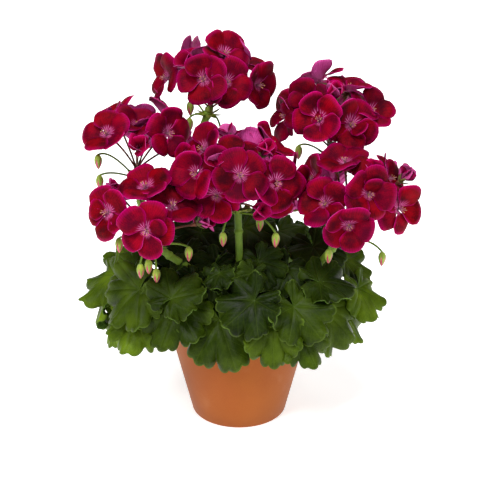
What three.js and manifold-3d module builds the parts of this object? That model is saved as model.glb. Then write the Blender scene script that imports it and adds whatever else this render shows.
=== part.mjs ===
// A zonal geranium in full flower, standing in a plain tapered terracotta pot.
// Millimetres, +Z up. The origin is the centre of the pot's base and the plant's front faces -Y.
//
// The plant has seven leafy shoots that stand in the soil. Six of them end in a flower stalk,
// and each stalk carries a bloom: a rounded head of five-petalled florets on their own pedicels.
import * as THREE from "three";
import { mergeVertices } from "three/addons/utils/BufferGeometryUtils.js";
import Module from "manifold-3d";

const wasm = await Module();
wasm.setup();

// ---------- driving dimensions ----------

const clearance = 0.35; // between neighbouring pieces

const pot = { height: 112, baseRadius: 44, topRadius: 71, wall: 6, floor: 8, round: 1.5, sides: 28 };

const soil = {
  top: 99,
  mound: 4, // its middle stands this far above its edge
  shoulder: [0.55, 0.7], // at this share of its radius it has this share of the mound's height
  slack: 0.2, // left at the pot's wall beside the clearance
  sides: 14,
};

const shoot = {
  depth: 30, // how far its foot stands below the soil's surface
  footRadius: 4.6,
  tipRadius: 3.4,
  bend: [0.25, 16], // a quarter of the way out it is still this far above the soil
  leaves: [0.62, 0.34], // the first leaf's place along it, and the stretch that all of them take
  sides: 5,
  steps: 2,
};

const petiole = {
  radius: 1.4,
  footRadius: 1.68,
  inset: 5, // it ends this far from the blade's own origin, towards the tip,
  rise: 0.75, // and this far above it
  sag: 0.45, // it comes up from below the blade by this share of the leaf's size
  pull: 0.3, // and that bend is drawn this share of the way back to the shoot
  sides: 3,
  steps: 2,
};

const leafForm = {
  lobes: 7,
  lobeAngle: 48, // degrees of the blade that one lobe takes
  lobeCut: 0.17, // how deep the margin is cut between two lobes, as a share of its reach
  baseReach: 0.78, // reach at the sides; the tip's is 1 and the basal lobes' is about 0.57
  ringShare: 0.56, // where the ring between petiole and margin lies
  thickness: 0.9,
  funnel: 0.3, // the blade rises from the petiole,
  saucer: 0.26, // levels out,
  droop: 0.14, // and its tip bends down
  swell: 0.95, // the ruffle's long waves, three to a round,
  pleat: 0.75, // and its short ones, one to a lobe
  phase: 2.4, // each leaf's long waves start elsewhere
};

const stalk = {
  radius: 3.2,
  collarRadius: 4.4,
  start: 0.35, // it runs on in the shoot's direction for this share of the way to the hub
  sides: 5,
  steps: 3,
};

const floretForm = {
  size: 24,
  petals: 5,
  notch: 0.3, // where two petals part, as a share of the petal's length
  corners: [[0.84, -35], [1, -7], [0.9, 32]], // share and degrees from its middle line
  thickness: 0.8,
  cup: [10.88, 1.25], // the petals rise by cup[0] * share^2 * (cup[1] - share)
  twist: 1.3, // one edge of a petal lies this far above its neighbour's and the other below,
  twistSide: 35, // at this many degrees from its middle line
  turns: [16, 5], // how far florets are turned in their own plane, and how that runs round a head
};

const pedicel = {
  radius: 1,
  calyx: 6, // the floret's underside is drawn out this far,
  neck: 0.6, // and the pedicel ends at this share of it
  root: 0.6, // it starts at this share of the hub's radius
  bend: [8, 88, 0.55], // it sets out this many degrees steeper, never above 88, for 0.55 of its length
  sides: 3,
  hubRadius: 3.8,
  hubTop: 2, // the hub's knob ends this far beyond its centre
};

const bud = {
  radius: 3.7,
  length: 14,
  shape: [0.27, 1, 0.8, 0.24], // radii from its stalk to its tip, as shares
  stalkRadius: 0.9,
  root: [2, 4], // its stalk leaves the hub this far out and this far down,
  arch: [0.7, 3], // and stands this far above both its ends at this share of the way out
  sides: 4,
};

// ---------- where things grow ----------

// A facing is [azimuth, elevation] in degrees: azimuth 0 looks out of the front, 90 to the right.
// A leaf is [its petiole's end in x, y, z], [the facing of its upper side], size, turn, ruffle.
// Size is the reach of its tip, and turn swings the tip away from straight down the slope.
const shoots = [
  {
    name: "front_left",
    foot: [-20, -20],
    tip: [-33, -40, 146],
    leaves: [
      [[-86, -68, 152], [-28, 38], 39, -30, 0.07],
      [[-86, -62, 126], [-32, 42], 38, 5, 0.06],
      [[-56, -88, 149], [-8, 55], 32, 150, 0.11],
      [[-52, -76, 141], [-12, 38], 42, -14, 0.07],
      [[-25, -64, 136], [8, 12], 27, 176, 0.08],
      [[-86, -38, 152], [-35, 48], 30, -60, 0.09],
      [[-48, -34, 168], [-10, 38], 32, 8, 0.08],
    ],
  },
  {
    name: "front",
    foot: [2, -30],
    tip: [1, -46, 150],
    leaves: [
      [[-17, -86, 133], [-3, 36], 46, 20, 0.06],
      [[13, -90, 149], [-4, 48], 35, -40, 0.12],
      [[28, -94, 129], [4, 24], 34, 0, 0.08],
      [[27, -80, 112], [3, 12], 26, 0, 0.06],
      [[-20, -46, 164], [-8, 44], 29, -20, 0.08],
      [[16, -50, 168], [8, 42], 28, 20, 0.09],
    ],
  },
  {
    name: "front_right",
    foot: [22, -18],
    tip: [58, -32, 146],
    leaves: [
      [[46, -86, 143], [14, 46], 36, 30, 0.1],
      [[48, -80, 118], [24, 28], 34, 12, 0.06],
      [[66, -62, 146], [24, 64], 32, 75, 0.08],
      [[71, -58, 127], [44, 36], 42, 30, 0.06],
      [[42, -48, 161], [2, 55], 28, -20, 0.12],
      [[66, -14, 168], [24, 52], 34, 10, 0.08],
    ],
  },
  {
    name: "right",
    foot: [30, 10],
    tip: [66, 18, 148],
    leaves: [
      [[99, -18, 124], [56, 40], 32, -10, 0.08],
      [[97, -30, 107], [60, 24], 27, 10, 0.07],
      [[96, 6, 146], [62, 48], 34, -15, 0.08],
      [[96, 36, 126], [100, 34], 38, 0, 0.07],
      [[70, 62, 148], [140, 42], 36, 20, 0.08],
    ],
  },
  {
    name: "back",
    foot: [4, 30],
    tip: [10, 52, 150],
    leaves: [
      [[44, 88, 128], [160, 32], 42, 0, 0.07],
      [[0, 94, 132], [182, 34], 44, -10, 0.06],
      [[22, 64, 162], [170, 52], 34, 30, 0.1],
      [[36, 10, 176], [10, 62], 32, 0, 0.08],
      [[4, 6, 178], [-6, 54], 36, 10, 0.08],
    ],
  },
  {
    name: "back_left",
    foot: [-24, 18],
    tip: [-42, 34, 150],
    leaves: [
      [[-44, 86, 128], [200, 32], 42, 0, 0.07],
      [[-84, 56, 134], [232, 34], 40, -15, 0.07],
      [[-40, 60, 162], [205, 52], 34, 30, 0.09],
      [[-34, 0, 176], [-22, 52], 34, 0, 0.08],
    ],
  },
  {
    name: "left",
    foot: [-32, -4],
    tip: [-72, 0, 148],
    leaves: [
      [[-108, 8, 150], [-62, 50], 33, 25, 0.08],
      [[-112, -14, 141], [-66, 40], 37, -5, 0.09],
      [[-116, -22, 124], [-80, 30], 33, -12, 0.08],
      [[-110, -38, 112], [-52, 20], 31, -8, 0.07],
      [[-106, 32, 124], [-104, 32], 38, 0, 0.07],
    ],
  },
];

// A floret is [azimuth, elevation] of its pedicel from the hub, and the pedicel's length.
// A bud is [azimuth, how far out it hangs, how far below the hub its tip is].
const heads = [
  {
    name: "back_centre",
    shoot: "back_left",
    hub: [-27, 25, 281],
    bow: [-46, 22, 236],
    florets: [
      [-8, 44, 42], [27, 43, 40], [-92, 36, 45], [84, 28, 46], [-130, 70, 42],
      [60, 74, 44], [120, 50, 46], [-150, 44, 46], [165, 36, 46],
    ],
    buds: [[-70, 17, 2], [-62, 19, 16], [42, 16, 24]],
  },
  {
    name: "left_upper",
    shoot: "left",
    hub: [-89, -5, 234],
    bow: [-84, -2, 190],
    florets: [
      [-52, 52, 46], [-130, 58, 44], [40, 84, 38], [70, 50, 46], [130, 56, 46], [178, 44, 44],
    ],
    buds: [[-50, 40, -12], [-60, 36, 9], [-30, 18, 16]],
  },
  {
    name: "front_centre",
    shoot: "front",
    hub: [-1, -45, 216],
    bow: [0, -48, 184],
    florets: [
      [-58, 40, 48], [3, 44, 48], [46, 34, 48], [-36, 29, 38], [-100, 34, 54],
      [-84, 60, 52], [-16, 80, 48], [108, 60, 54], [84, 30, 54], [64, 20, 44],
      [168, 36, 52],
    ],
    buds: [[-35, 22, 28], [52, 40, 26], [110, 20, 24]],
  },
  {
    name: "left_lower",
    shoot: "front_left",
    hub: [-72, -60, 192],
    bow: [-58, -58, 172],
    florets: [
      [-65, 38, 46], [0, 29, 42], [50, 52, 44], [-150, 52, 46], [-20, 80, 44], [130, 34, 46],
    ],
    buds: [[-28, 22, 26], [-10, 20, 22], [8, 20, 30], [62, 34, 12], [-60, 32, 4]],
  },
  {
    name: "right_upper",
    shoot: "right",
    hub: [81, 20, 246],
    bow: [78, 19, 200],
    florets: [
      [-21, 44, 44], [84, 44, 46], [-94, 36, 47], [-150, 70, 52], [100, 74, 52],
      [28, 42, 42], [-56, 56, 48], [-160, 34, 48], [158, 36, 48],
    ],
    buds: [[-58, 34, 2], [60, 16, 20]],
  },
  {
    name: "right_lower",
    shoot: "front_right",
    hub: [90, -45, 192],
    bow: [78, -44, 176],
    florets: [
      [-4, 27, 44], [25, 54, 48], [96, 54, 50], [-42, 46, 46], [74, 30, 46],
      [-110, 56, 54], [-40, 84, 56], [150, 70, 56], [124, 36, 54], [-165, 32, 50],
    ],
    buds: [[60, 36, 22], [-40, 22, 20]],
  },
];

const nod = 24; // a floret on a level pedicel hangs its face by this many degrees, an upright one by none
const lean = 32; // and up to this many degrees more to the front, where the light comes from

// ---------- materials ----------

const terracotta = new THREE.MeshStandardMaterial({ color: 0xb8662f, roughness: 0.85, metalness: 0 });
const pottingSoil = new THREE.MeshStandardMaterial({ color: 0x2e2119, roughness: 1, metalness: 0 });
const leafGreen = new THREE.MeshStandardMaterial({ color: 0x3f6a1f, roughness: 0.6, metalness: 0 });
const stalkGreen = new THREE.MeshStandardMaterial({ color: 0x6f9138, roughness: 0.6, metalness: 0 });
const crimson = new THREE.MeshStandardMaterial({ color: 0xa3093f, roughness: 0.7, metalness: 0 });

// ---------- small helpers ----------

const rad = THREE.MathUtils.degToRad;
const point = (xyz) => new THREE.Vector3(...xyz);

function facing(azimuth, elevation) {
  const level = Math.cos(rad(elevation));
  return new THREE.Vector3(
    Math.sin(rad(azimuth)) * level,
    -Math.cos(rad(azimuth)) * level,
    Math.sin(rad(elevation)),
  );
}

function solidOf(geometry) {
  const bare = geometry.clone();
  for (const name of Object.keys(bare.attributes)) if (name !== "position") bare.deleteAttribute(name);
  const merged = mergeVertices(bare, 1e-4);
  return new wasm.Manifold(
    new wasm.Mesh({
      numProp: 3,
      vertProperties: merged.attributes.position.array,
      triVerts: new Uint32Array(merged.index.array),
    }),
  );
}

function geometryOf(solid) {
  const mesh = solid.getMesh();
  const positions = new Float32Array(mesh.numVert * 3);
  for (let i = 0; i < mesh.numVert; i++)
    positions.set(mesh.vertProperties.subarray(i * mesh.numProp, i * mesh.numProp + 3), i * 3);
  const geometry = new THREE.BufferGeometry();
  geometry.setAttribute("position", new THREE.BufferAttribute(positions, 3));
  geometry.setIndex(new THREE.BufferAttribute(mesh.triVerts, 1));
  geometry.computeVertexNormals();
  return geometry;
}

const fuse = (solids) => solids.reduce((whole, piece) => whole.add(piece));

// The largest body of a solid: scraps that a cut leaves loose are dropped.
function largestBody(solid) {
  const bodies = solid.decompose();
  return bodies.reduce((best, body) => (body.volume() > best.volume() ? body : best));
}

function closedGeometry(points, triangles) {
  const geometry = new THREE.BufferGeometry();
  geometry.setAttribute("position", new THREE.Float32BufferAttribute(points.flatMap((p) => p.toArray()), 3));
  geometry.setIndex(triangles.flat());
  return geometry;
}

// A thin curved sheet in a local XY plane, given by its points, triangles and rim, made solid
// with the same triangles on both faces.
function blade(points, triangles, rim, thickness) {
  const n = points.length;
  const half = new THREE.Vector3(0, 0, thickness / 2);
  const both = [...points.map((p) => p.clone().add(half)), ...points.map((p) => p.clone().sub(half))];
  const faces = [];
  for (const [a, b, c] of triangles) faces.push([a, b, c], [n + a, n + c, n + b]);
  rim.forEach((a, i) => {
    const b = rim[(i + 1) % rim.length];
    faces.push([a, n + a, n + b], [a, n + b, b]);
  });
  return closedGeometry(both, faces);
}

// A tube along a curve whose radius follows the list. Its ends are square to the curve, or the
// last one lies in the plane that `endUp` is square to.
function taperedTube(curve, radii, sides, grow = 0, endUp = null) {
  const rings = radii.length - 1;
  const frames = curve.computeFrenetFrames(rings, false);
  const points = [];
  radii.forEach((radius, i) => {
    const centre = curve.getPointAt(i / rings);
    if (i === 0) centre.addScaledVector(frames.tangents[i], -grow);
    if (i === rings) centre.addScaledVector(frames.tangents[i], grow);
    for (let k = 0; k < sides; k++) {
      const angle = (2 * Math.PI * k) / sides;
      const spoke = frames.normals[i]
        .clone()
        .multiplyScalar(Math.cos(angle))
        .addScaledVector(frames.binormals[i], Math.sin(angle));
      if (endUp && i === rings) spoke.addScaledVector(endUp, -endUp.dot(spoke)).normalize();
      points.push(centre.clone().addScaledVector(spoke, radius + grow));
    }
  });
  const faces = [];
  for (let i = 0; i < rings; i++)
    for (let k = 0; k < sides; k++) {
      const a = i * sides + k;
      const b = i * sides + ((k + 1) % sides);
      faces.push([a, b, b + sides], [a, b + sides, a + sides]);
    }
  const last = rings * sides;
  for (let k = 1; k < sides - 1; k++) faces.push([0, k + 1, k], [last, last + k, last + k + 1]);
  return solidOf(closedGeometry(points, faces));
}

const evenRadii = (from, to, steps) =>
  Array.from({ length: steps + 1 }, (_, i) => THREE.MathUtils.lerp(from, to, i / steps));

// The matrix that lays +Z along `up`, and +X down the slope and then turned by `turn`.
function placement(position, up, turn) {
  const downhill = new THREE.Vector3(0, 0, -1).addScaledVector(up, up.z).normalize();
  const tip = downhill.applyAxisAngle(up, rad(turn));
  const side = new THREE.Vector3().crossVectors(up, tip);
  return new THREE.Matrix4().makeBasis(tip, side, up).setPosition(position);
}

// ---------- pot and soil ----------

const potRadiusAt = (z) => pot.baseRadius + ((pot.topRadius - pot.baseRadius) * z) / pot.height;

function potSolid(grow = 0) {
  const { height, baseRadius, topRadius, wall, floor, round } = pot;
  const profile = [
    [0, -grow],
    [baseRadius - round + grow, -grow],
    [potRadiusAt(round) + grow, round],
    [topRadius + grow, height - round],
    [topRadius - wall / 2, height + grow],
    [topRadius - wall - grow, height - round],
    [potRadiusAt(floor) - wall - grow, floor + grow],
    [0, floor + grow],
  ].map(([r, z]) => new THREE.Vector2(r, z));
  return solidOf(new THREE.LatheGeometry(profile, pot.sides).rotateX(Math.PI / 2));
}

function soilSolid() {
  const flatToCorner = Math.cos(Math.PI / pot.sides);
  const innerAt = (z) => (potRadiusAt(z) - pot.wall) * flatToCorner - clearance - soil.slack;
  const foot = pot.floor + clearance;
  const [out, up] = soil.shoulder;
  const profile = [
    [0, foot],
    [innerAt(pot.floor), foot],
    [innerAt(soil.top), soil.top],
    [innerAt(soil.top) * out, soil.top + soil.mound * up],
    [0, soil.top + soil.mound],
  ].map(([r, z]) => new THREE.Vector2(r, z));
  return solidOf(new THREE.LatheGeometry(profile, soil.sides).rotateX(Math.PI / 2));
}

// ---------- the two kinds of blade ----------

// A blade lies round its own origin with +Z as its upper side and +X towards its tip.
// reachAt is the margin's distance at an angle from the tip; heightAt is the surface's height
// at a share of that distance.
function leafShape(size, ruffle, seed) {
  const half = (leafForm.lobes * leafForm.lobeAngle) / 2;
  return {
    reachAt(degrees) {
      if (Math.abs(degrees) > half) return 0;
      const round = leafForm.baseReach + (1 - leafForm.baseReach) * Math.cos(rad(degrees));
      const lobe = degrees / leafForm.lobeAngle;
      const fromMiddle = 2 * Math.abs(lobe - Math.round(lobe));
      return size * round * (1 - leafForm.lobeCut * fromMiddle ** 3);
    },
    heightAt(share, degrees) {
      const dish = leafForm.funnel * share - leafForm.saucer * share ** 2;
      const tip = leafForm.droop * share ** 2 * Math.max(0, Math.cos(rad(degrees)));
      const swell = leafForm.swell * Math.sin(rad(3 * degrees) + seed * leafForm.phase);
      const pleat = leafForm.pleat * Math.cos(rad((360 * degrees) / leafForm.lobeAngle));
      return size * (dish - tip + ruffle * share ** 2 * (swell + pleat));
    },
  };
}

const floretShape = {
  reachAt: () => floretForm.size,
  heightAt: (share) => floretForm.cup[0] * share ** 2 * (floretForm.cup[1] - share),
};

// ---------- keeping blades apart ----------

// Leaves lie over one another and petals press together, but none grows through another.
// Each blade tries a few poses near its own and takes the one in which it passes through its
// neighbours least; three rounds of this settle the whole plant.
const settling = {
  shares: [0.55, 1], // where a blade is felt, as shares of its reach,
  step: 30, // every this many degrees
  margin: 1.05, // a neighbour counts up to this share of a blade's reach
  spacing: 1, // millimetres that two blades are kept apart
  rounds: 3,
  leaf: { tilts: [0, 9, -9], tiltCost: 0.13, shifts: [0, 4, -4, 8, -8, 12], shiftCost: 0.3, reach: 95 },
  floret: { tilts: [0, 12, -12, 24, -24], tiltCost: 0.1, shifts: [0, -3, 3, -6, 6], shiftCost: 0.4, reach: 50 },
};

function posed(shape, joint, up, turn, cost) {
  const matrix = placement(joint, up, turn);
  const samples = [joint.clone()];
  for (const share of settling.shares)
    for (let degrees = -180 + settling.step / 2; degrees < 180; degrees += settling.step) {
      const reach = shape.reachAt(degrees) * share;
      if (reach > 0)
        samples.push(
          new THREE.Vector3(
            reach * Math.cos(rad(degrees)),
            reach * Math.sin(rad(degrees)),
            shape.heightAt(share, degrees),
          ).applyMatrix4(matrix),
        );
    }
  return { shape, joint, up, turn, cost, samples, inverse: matrix.clone().invert() };
}

// How much of b lies on the lesser side of a's surface, within a's margin.
function passing(a, b) {
  let above = 0;
  let below = 0;
  for (const sample of b.samples) {
    const { x, y, z } = sample.clone().applyMatrix4(a.inverse);
    const degrees = THREE.MathUtils.radToDeg(Math.atan2(y, x));
    const share = Math.hypot(x, y) / a.shape.reachAt(degrees);
    if (share > settling.margin) continue;
    const depth = z - a.shape.heightAt(share, degrees);
    above += Math.max(0, depth + settling.spacing);
    below += Math.max(0, settling.spacing - depth);
  }
  return Math.min(above, below);
}

function settle(choices, reach) {
  const taken = choices.map((poses) => poses[0]);
  for (let round = 0; round < settling.rounds; round++)
    choices.forEach((poses, i) => {
      const near = taken.filter((other, j) => j !== i && other.joint.distanceTo(poses[0].joint) < reach);
      const scores = poses.map((pose) =>
        near.reduce((sum, other) => sum + passing(pose, other) + passing(other, pose), pose.cost),
      );
      taken[i] = poses[scores.indexOf(Math.min(...scores))];
    });
  return taken;
}

// ---------- leaves and shoots ----------

const leafPlans = shoots.flatMap((plan) =>
  plan.leaves.map(([joint, [azimuth, elevation], size, turn, ruffle], i) => ({
    plan, i, joint, azimuth, elevation, size, turn, ruffle,
  })),
);

function leafPoses({ i, joint, azimuth, elevation, size, turn, ruffle }) {
  const shape = leafShape(size, ruffle, i);
  const { tilts, tiltCost, shifts, shiftCost } = settling.leaf;
  const poses = [];
  for (const tilt of tilts)
    for (const shift of shifts) {
      const up = facing(azimuth, elevation + tilt);
      const moved = point(joint).addScaledVector(facing(azimuth, elevation), shift);
      const cost = Math.abs(shift) * shiftCost + Math.abs(tilt) * tiltCost;
      poses.push(posed(shape, moved, up, turn, cost));
    }
  return poses;
}

const settledLeaves = settle(leafPlans.map(leafPoses), settling.leaf.reach);

// A kidney-shaped blade with rounded lobes, funnelled at the petiole and pleated at its margin.
function leafBlade(shape, grow) {
  const at = (share, degrees) => {
    const reach = (shape.reachAt(degrees) + grow) * share;
    return new THREE.Vector3(
      reach * Math.cos(rad(degrees)),
      reach * Math.sin(rad(degrees)),
      shape.heightAt(share, degrees),
    );
  };
  const half = (leafForm.lobes * leafForm.lobeAngle) / 2;
  const perLobe = 3;
  const points = [at(0, 0)];
  const ring = [];
  const rim = [];
  for (let lobe = 0; lobe <= leafForm.lobes; lobe++)
    ring.push(points.push(at(leafForm.ringShare, -half + lobe * leafForm.lobeAngle)) - 1);
  for (let i = 0; i <= leafForm.lobes * perLobe; i++)
    rim.push(points.push(at(1, -half + (i * leafForm.lobeAngle) / perLobe)) - 1);
  const triangles = [];
  for (let lobe = 0; lobe < leafForm.lobes; lobe++) {
    const [a, b] = [ring[lobe], ring[lobe + 1]];
    const [p, q, r, s] = rim.slice(lobe * perLobe, lobe * perLobe + perLobe + 1);
    triangles.push([0, a, b], [a, p, q], [a, q, b], [b, q, r], [b, r, s]);
  }
  const outline = [0, ring[0], ...rim, ring[leafForm.lobes]];
  return blade(points, triangles, outline, leafForm.thickness + 2 * grow);
}

function shootCurve({ foot, tip }) {
  const end = point(tip);
  const below = point([...foot, soil.top - shoot.depth]);
  const [out, height] = shoot.bend;
  const bend = below
    .clone()
    .lerp(end, out)
    .setZ(soil.top + height);
  return new THREE.QuadraticBezierCurve3(below, bend, end);
}

function shootStem(plan, grow) {
  const radii = evenRadii(shoot.footRadius, shoot.tipRadius, shoot.steps);
  return taperedTube(shootCurve(plan), radii, shoot.sides, grow);
}

// A petiole leaves its shoot and comes up under the blade, into which its end is laid flat.
function petioleSolid(node, { joint, up, turn }, size, grow) {
  const end = new THREE.Vector3(petiole.inset, 0, petiole.rise).applyMatrix4(placement(joint, up, turn));
  const below = end
    .clone()
    .addScaledVector(up, -petiole.sag * size)
    .lerp(node, petiole.pull);
  const curve = new THREE.QuadraticBezierCurve3(node, below, end);
  const radii = evenRadii(petiole.footRadius, petiole.radius, petiole.steps);
  return taperedTube(curve, radii, petiole.sides, grow, up);
}

function leafyShoot(plan, grow = 0) {
  const curve = shootCurve(plan);
  const [first, stretch] = shoot.leaves;
  const leaves = leafPlans.flatMap((leaf, k) => {
    if (leaf.plan !== plan) return [];
    const pose = settledLeaves[k];
    const node = curve.getPointAt(first + (stretch * leaf.i) / plan.leaves.length);
    const laid = placement(pose.joint, pose.up, pose.turn);
    const sheet = solidOf(leafBlade(pose.shape, grow).applyMatrix4(laid));
    return [sheet, petioleSolid(node, pose, leaf.size, grow)];
  });
  return fuse([shootStem(plan, grow), ...leaves]);
}

// ---------- flower stalks and blooms ----------

function stalkCurve(head) {
  const base = shootCurve(shoots.find((plan) => plan.name === head.shoot));
  const away = base.getTangentAt(1);
  const start = base.getPointAt(1).addScaledVector(away, clearance);
  const onward = start.clone().addScaledVector(away, stalk.start * start.distanceTo(point(head.hub)));
  return new THREE.CubicBezierCurve3(start, onward, point(head.bow), point(head.hub));
}

// A bud hangs on a thread that arches out from the hub.
function budSolids(hub, [azimuth, reach, drop], grow) {
  const tip = hub.clone().addScaledVector(facing(azimuth, 0), reach).setZ(hub.z - drop);
  const top = tip.clone().add(new THREE.Vector3(0, 0, bud.length));
  const [share, height] = bud.arch;
  const over = hub.clone().lerp(top, share).setZ(Math.max(hub.z, top.z) + height);
  const [out, down] = bud.root;
  const start = hub.clone().addScaledVector(facing(azimuth, 0), out).setZ(hub.z - down);
  const curve = new THREE.QuadraticBezierCurve3(start, over, top.clone().setZ(top.z - bud.stalkRadius));
  const thread = taperedTube(curve, evenRadii(bud.stalkRadius, bud.stalkRadius, 2), pedicel.sides, grow);
  const radii = bud.shape.map((part) => part * bud.radius);
  return [thread, taperedTube(new THREE.LineCurve3(top, tip), radii, bud.sides, grow)];
}

function flowerStalk(head, grow = 0) {
  const hub = point(head.hub);
  const curve = stalkCurve(head);
  const radii = evenRadii(stalk.radius, stalk.radius, stalk.steps);
  radii[radii.length - 1] = stalk.collarRadius;
  const peduncle = taperedTube(curve, radii, stalk.sides, grow);
  return fuse([peduncle, ...head.buds.flatMap((place) => budSolids(hub, place, grow))]);
}

// The small knob on top of a flower stalk from which the pedicels spread.
function hubOf(head) {
  const away = stalkCurve(head).getTangentAt(1);
  const seat = point(head.hub).addScaledVector(away, clearance);
  return { away, seat, centre: seat.clone().addScaledVector(away, pedicel.hubRadius) };
}

const floretPlans = heads.flatMap((head) =>
  head.florets.map(([azimuth, elevation, length], i) => ({ head, i, azimuth, elevation, length })),
);

function floretPoses({ head, i, azimuth, elevation, length }) {
  const hub = hubOf(head).centre;
  const [most, round] = floretForm.turns;
  const turn = most * Math.sin(round * i + head.hub[0]);
  const { tilts, tiltCost, shifts, shiftCost } = settling.floret;
  const poses = [];
  for (const tilt of tilts)
    for (const shift of shifts) {
      const joint = hub.clone().addScaledVector(facing(azimuth, elevation), length + shift);
      const up = facing(
        azimuth - lean * Math.sin(rad(azimuth)),
        elevation - nod * Math.cos(rad(elevation)) + tilt,
      );
      const cost = Math.abs(shift) * shiftCost + Math.abs(tilt) * tiltCost;
      poses.push(posed(floretShape, joint, up, turn, cost));
    }
  return poses;
}

const settledFlorets = settle(floretPlans.map(floretPoses), settling.floret.reach);

// Five rounded petals that part near the centre, each with one edge raised over its neighbour's.
// The underside is drawn out into the calyx.
function corolla(grow) {
  const { size, petals, notch, corners, twist, twistSide } = floretForm;
  const step = 360 / petals;
  const at = (share, middle, side) => {
    const reach = size * share + (share > notch ? grow : 0);
    const raised = share > notch ? (twist * side) / twistSide : 0;
    return new THREE.Vector3(
      reach * Math.cos(rad(middle + side)),
      reach * Math.sin(rad(middle + side)),
      floretShape.heightAt(share) + raised,
    );
  };
  const points = [at(0, 0, 0)];
  const rim = [];
  const triangles = [];
  for (let k = 0; k < petals; k++) {
    rim.push(points.push(at(notch, k * step, -step / 2)) - 1);
    for (const [share, side] of corners) rim.push(points.push(at(share, k * step, side)) - 1);
  }
  const perPetal = corners.length + 1;
  for (let k = 0; k < petals; k++) {
    const [start, ...edge] = rim.slice(k * perPetal, (k + 1) * perPetal);
    const end = rim[((k + 1) * perPetal) % rim.length];
    triangles.push([0, start, end], [start, edge[0], edge[1]], [start, edge[1], end]);
    for (let i = 1; i < edge.length - 1; i++) triangles.push([end, edge[i], edge[i + 1]]);
  }
  const geometry = blade(points, triangles, rim, floretForm.thickness + 2 * grow);
  geometry.attributes.position.setZ(points.length, -pedicel.calyx - grow);
  return geometry;
}

function floret(hub, { azimuth, elevation, length }, { joint, up, turn }, grow) {
  const [steeper, steepest, share] = pedicel.bend;
  const setOut = facing(azimuth, Math.min(steepest, elevation + steeper));
  const neck = joint.clone().addScaledVector(up, -pedicel.neck * pedicel.calyx);
  const root = hub.clone().addScaledVector(facing(azimuth, elevation), pedicel.root * pedicel.hubRadius);
  const bend = hub.clone().addScaledVector(setOut, share * length);
  const thread = new THREE.QuadraticBezierCurve3(root, bend, neck);
  return [
    solidOf(corolla(grow).applyMatrix4(placement(joint, up, turn))),
    taperedTube(thread, evenRadii(pedicel.radius, pedicel.radius, 2), pedicel.sides, grow),
  ];
}

function bloom(head, grow = 0) {
  const { away, seat, centre } = hubOf(head);
  const top = centre.clone().addScaledVector(away, pedicel.hubTop);
  const radii = [pedicel.hubRadius, pedicel.root * pedicel.hubRadius];
  const knob = taperedTube(new THREE.LineCurve3(seat, top), radii, stalk.sides, grow);
  const florets = floretPlans.flatMap((plan, k) =>
    plan.head === head ? floret(centre, plan, settledFlorets[k], grow) : [],
  );
  return fuse([knob, ...florets]);
}

// ---------- assembly ----------

const plant = new THREE.Group();

function addNode(name, solid, material) {
  const mesh = new THREE.Mesh(geometryOf(solid), material);
  mesh.name = name;
  plant.add(mesh);
}

addNode("pot", potSolid(), terracotta);

const shootHoles = fuse(shoots.map((plan) => shootStem(plan, clearance)));
addNode("soil", largestBody(soilSolid().subtract(shootHoles)), pottingSoil);

// Each piece is cut clear of the ones already placed, so that none of them touch.
const placed = [];
function addCut(name, build, material) {
  const whole = build(0);
  const clear = placed.length ? whole.subtract(fuse(placed)) : whole;
  addNode(name, largestBody(clear), material);
  placed.push(build(clearance));
}

for (const head of heads) addCut(`flower_stalk_${head.name}`, (grow) => flowerStalk(head, grow), stalkGreen);
for (const head of heads) addCut(`bloom_${head.name}`, (grow) => bloom(head, grow), crimson);
placed.push(potSolid(clearance));
for (const plan of shoots) addCut(`leafy_shoot_${plan.name}`, (grow) => leafyShoot(plan, grow), leafGreen);

export default plant;
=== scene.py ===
# Looks for a zonal geranium in flower: a smooth clay pot, ruffled leaves with their veins,
# and heads of crimson florets. Millimetres are turned into metres as each mesh is filled.
import math

import bpy
import numpy as np
from mathutils import Matrix, Vector


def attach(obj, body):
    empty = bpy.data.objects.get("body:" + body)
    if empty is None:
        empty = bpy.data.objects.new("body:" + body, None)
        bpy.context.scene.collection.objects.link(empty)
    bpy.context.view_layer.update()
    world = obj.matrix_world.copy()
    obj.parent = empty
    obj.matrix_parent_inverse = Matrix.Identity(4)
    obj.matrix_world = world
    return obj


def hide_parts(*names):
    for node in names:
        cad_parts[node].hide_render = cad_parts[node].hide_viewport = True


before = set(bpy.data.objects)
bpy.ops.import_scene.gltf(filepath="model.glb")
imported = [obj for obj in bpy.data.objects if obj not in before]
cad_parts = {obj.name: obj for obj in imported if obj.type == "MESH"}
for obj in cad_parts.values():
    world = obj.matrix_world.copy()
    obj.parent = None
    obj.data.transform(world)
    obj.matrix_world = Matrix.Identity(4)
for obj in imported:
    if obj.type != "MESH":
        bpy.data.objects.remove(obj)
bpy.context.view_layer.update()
mm = 0.001
chance = np.random.default_rng(11)

# ---- where things grow: the same values as the solids ----

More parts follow.
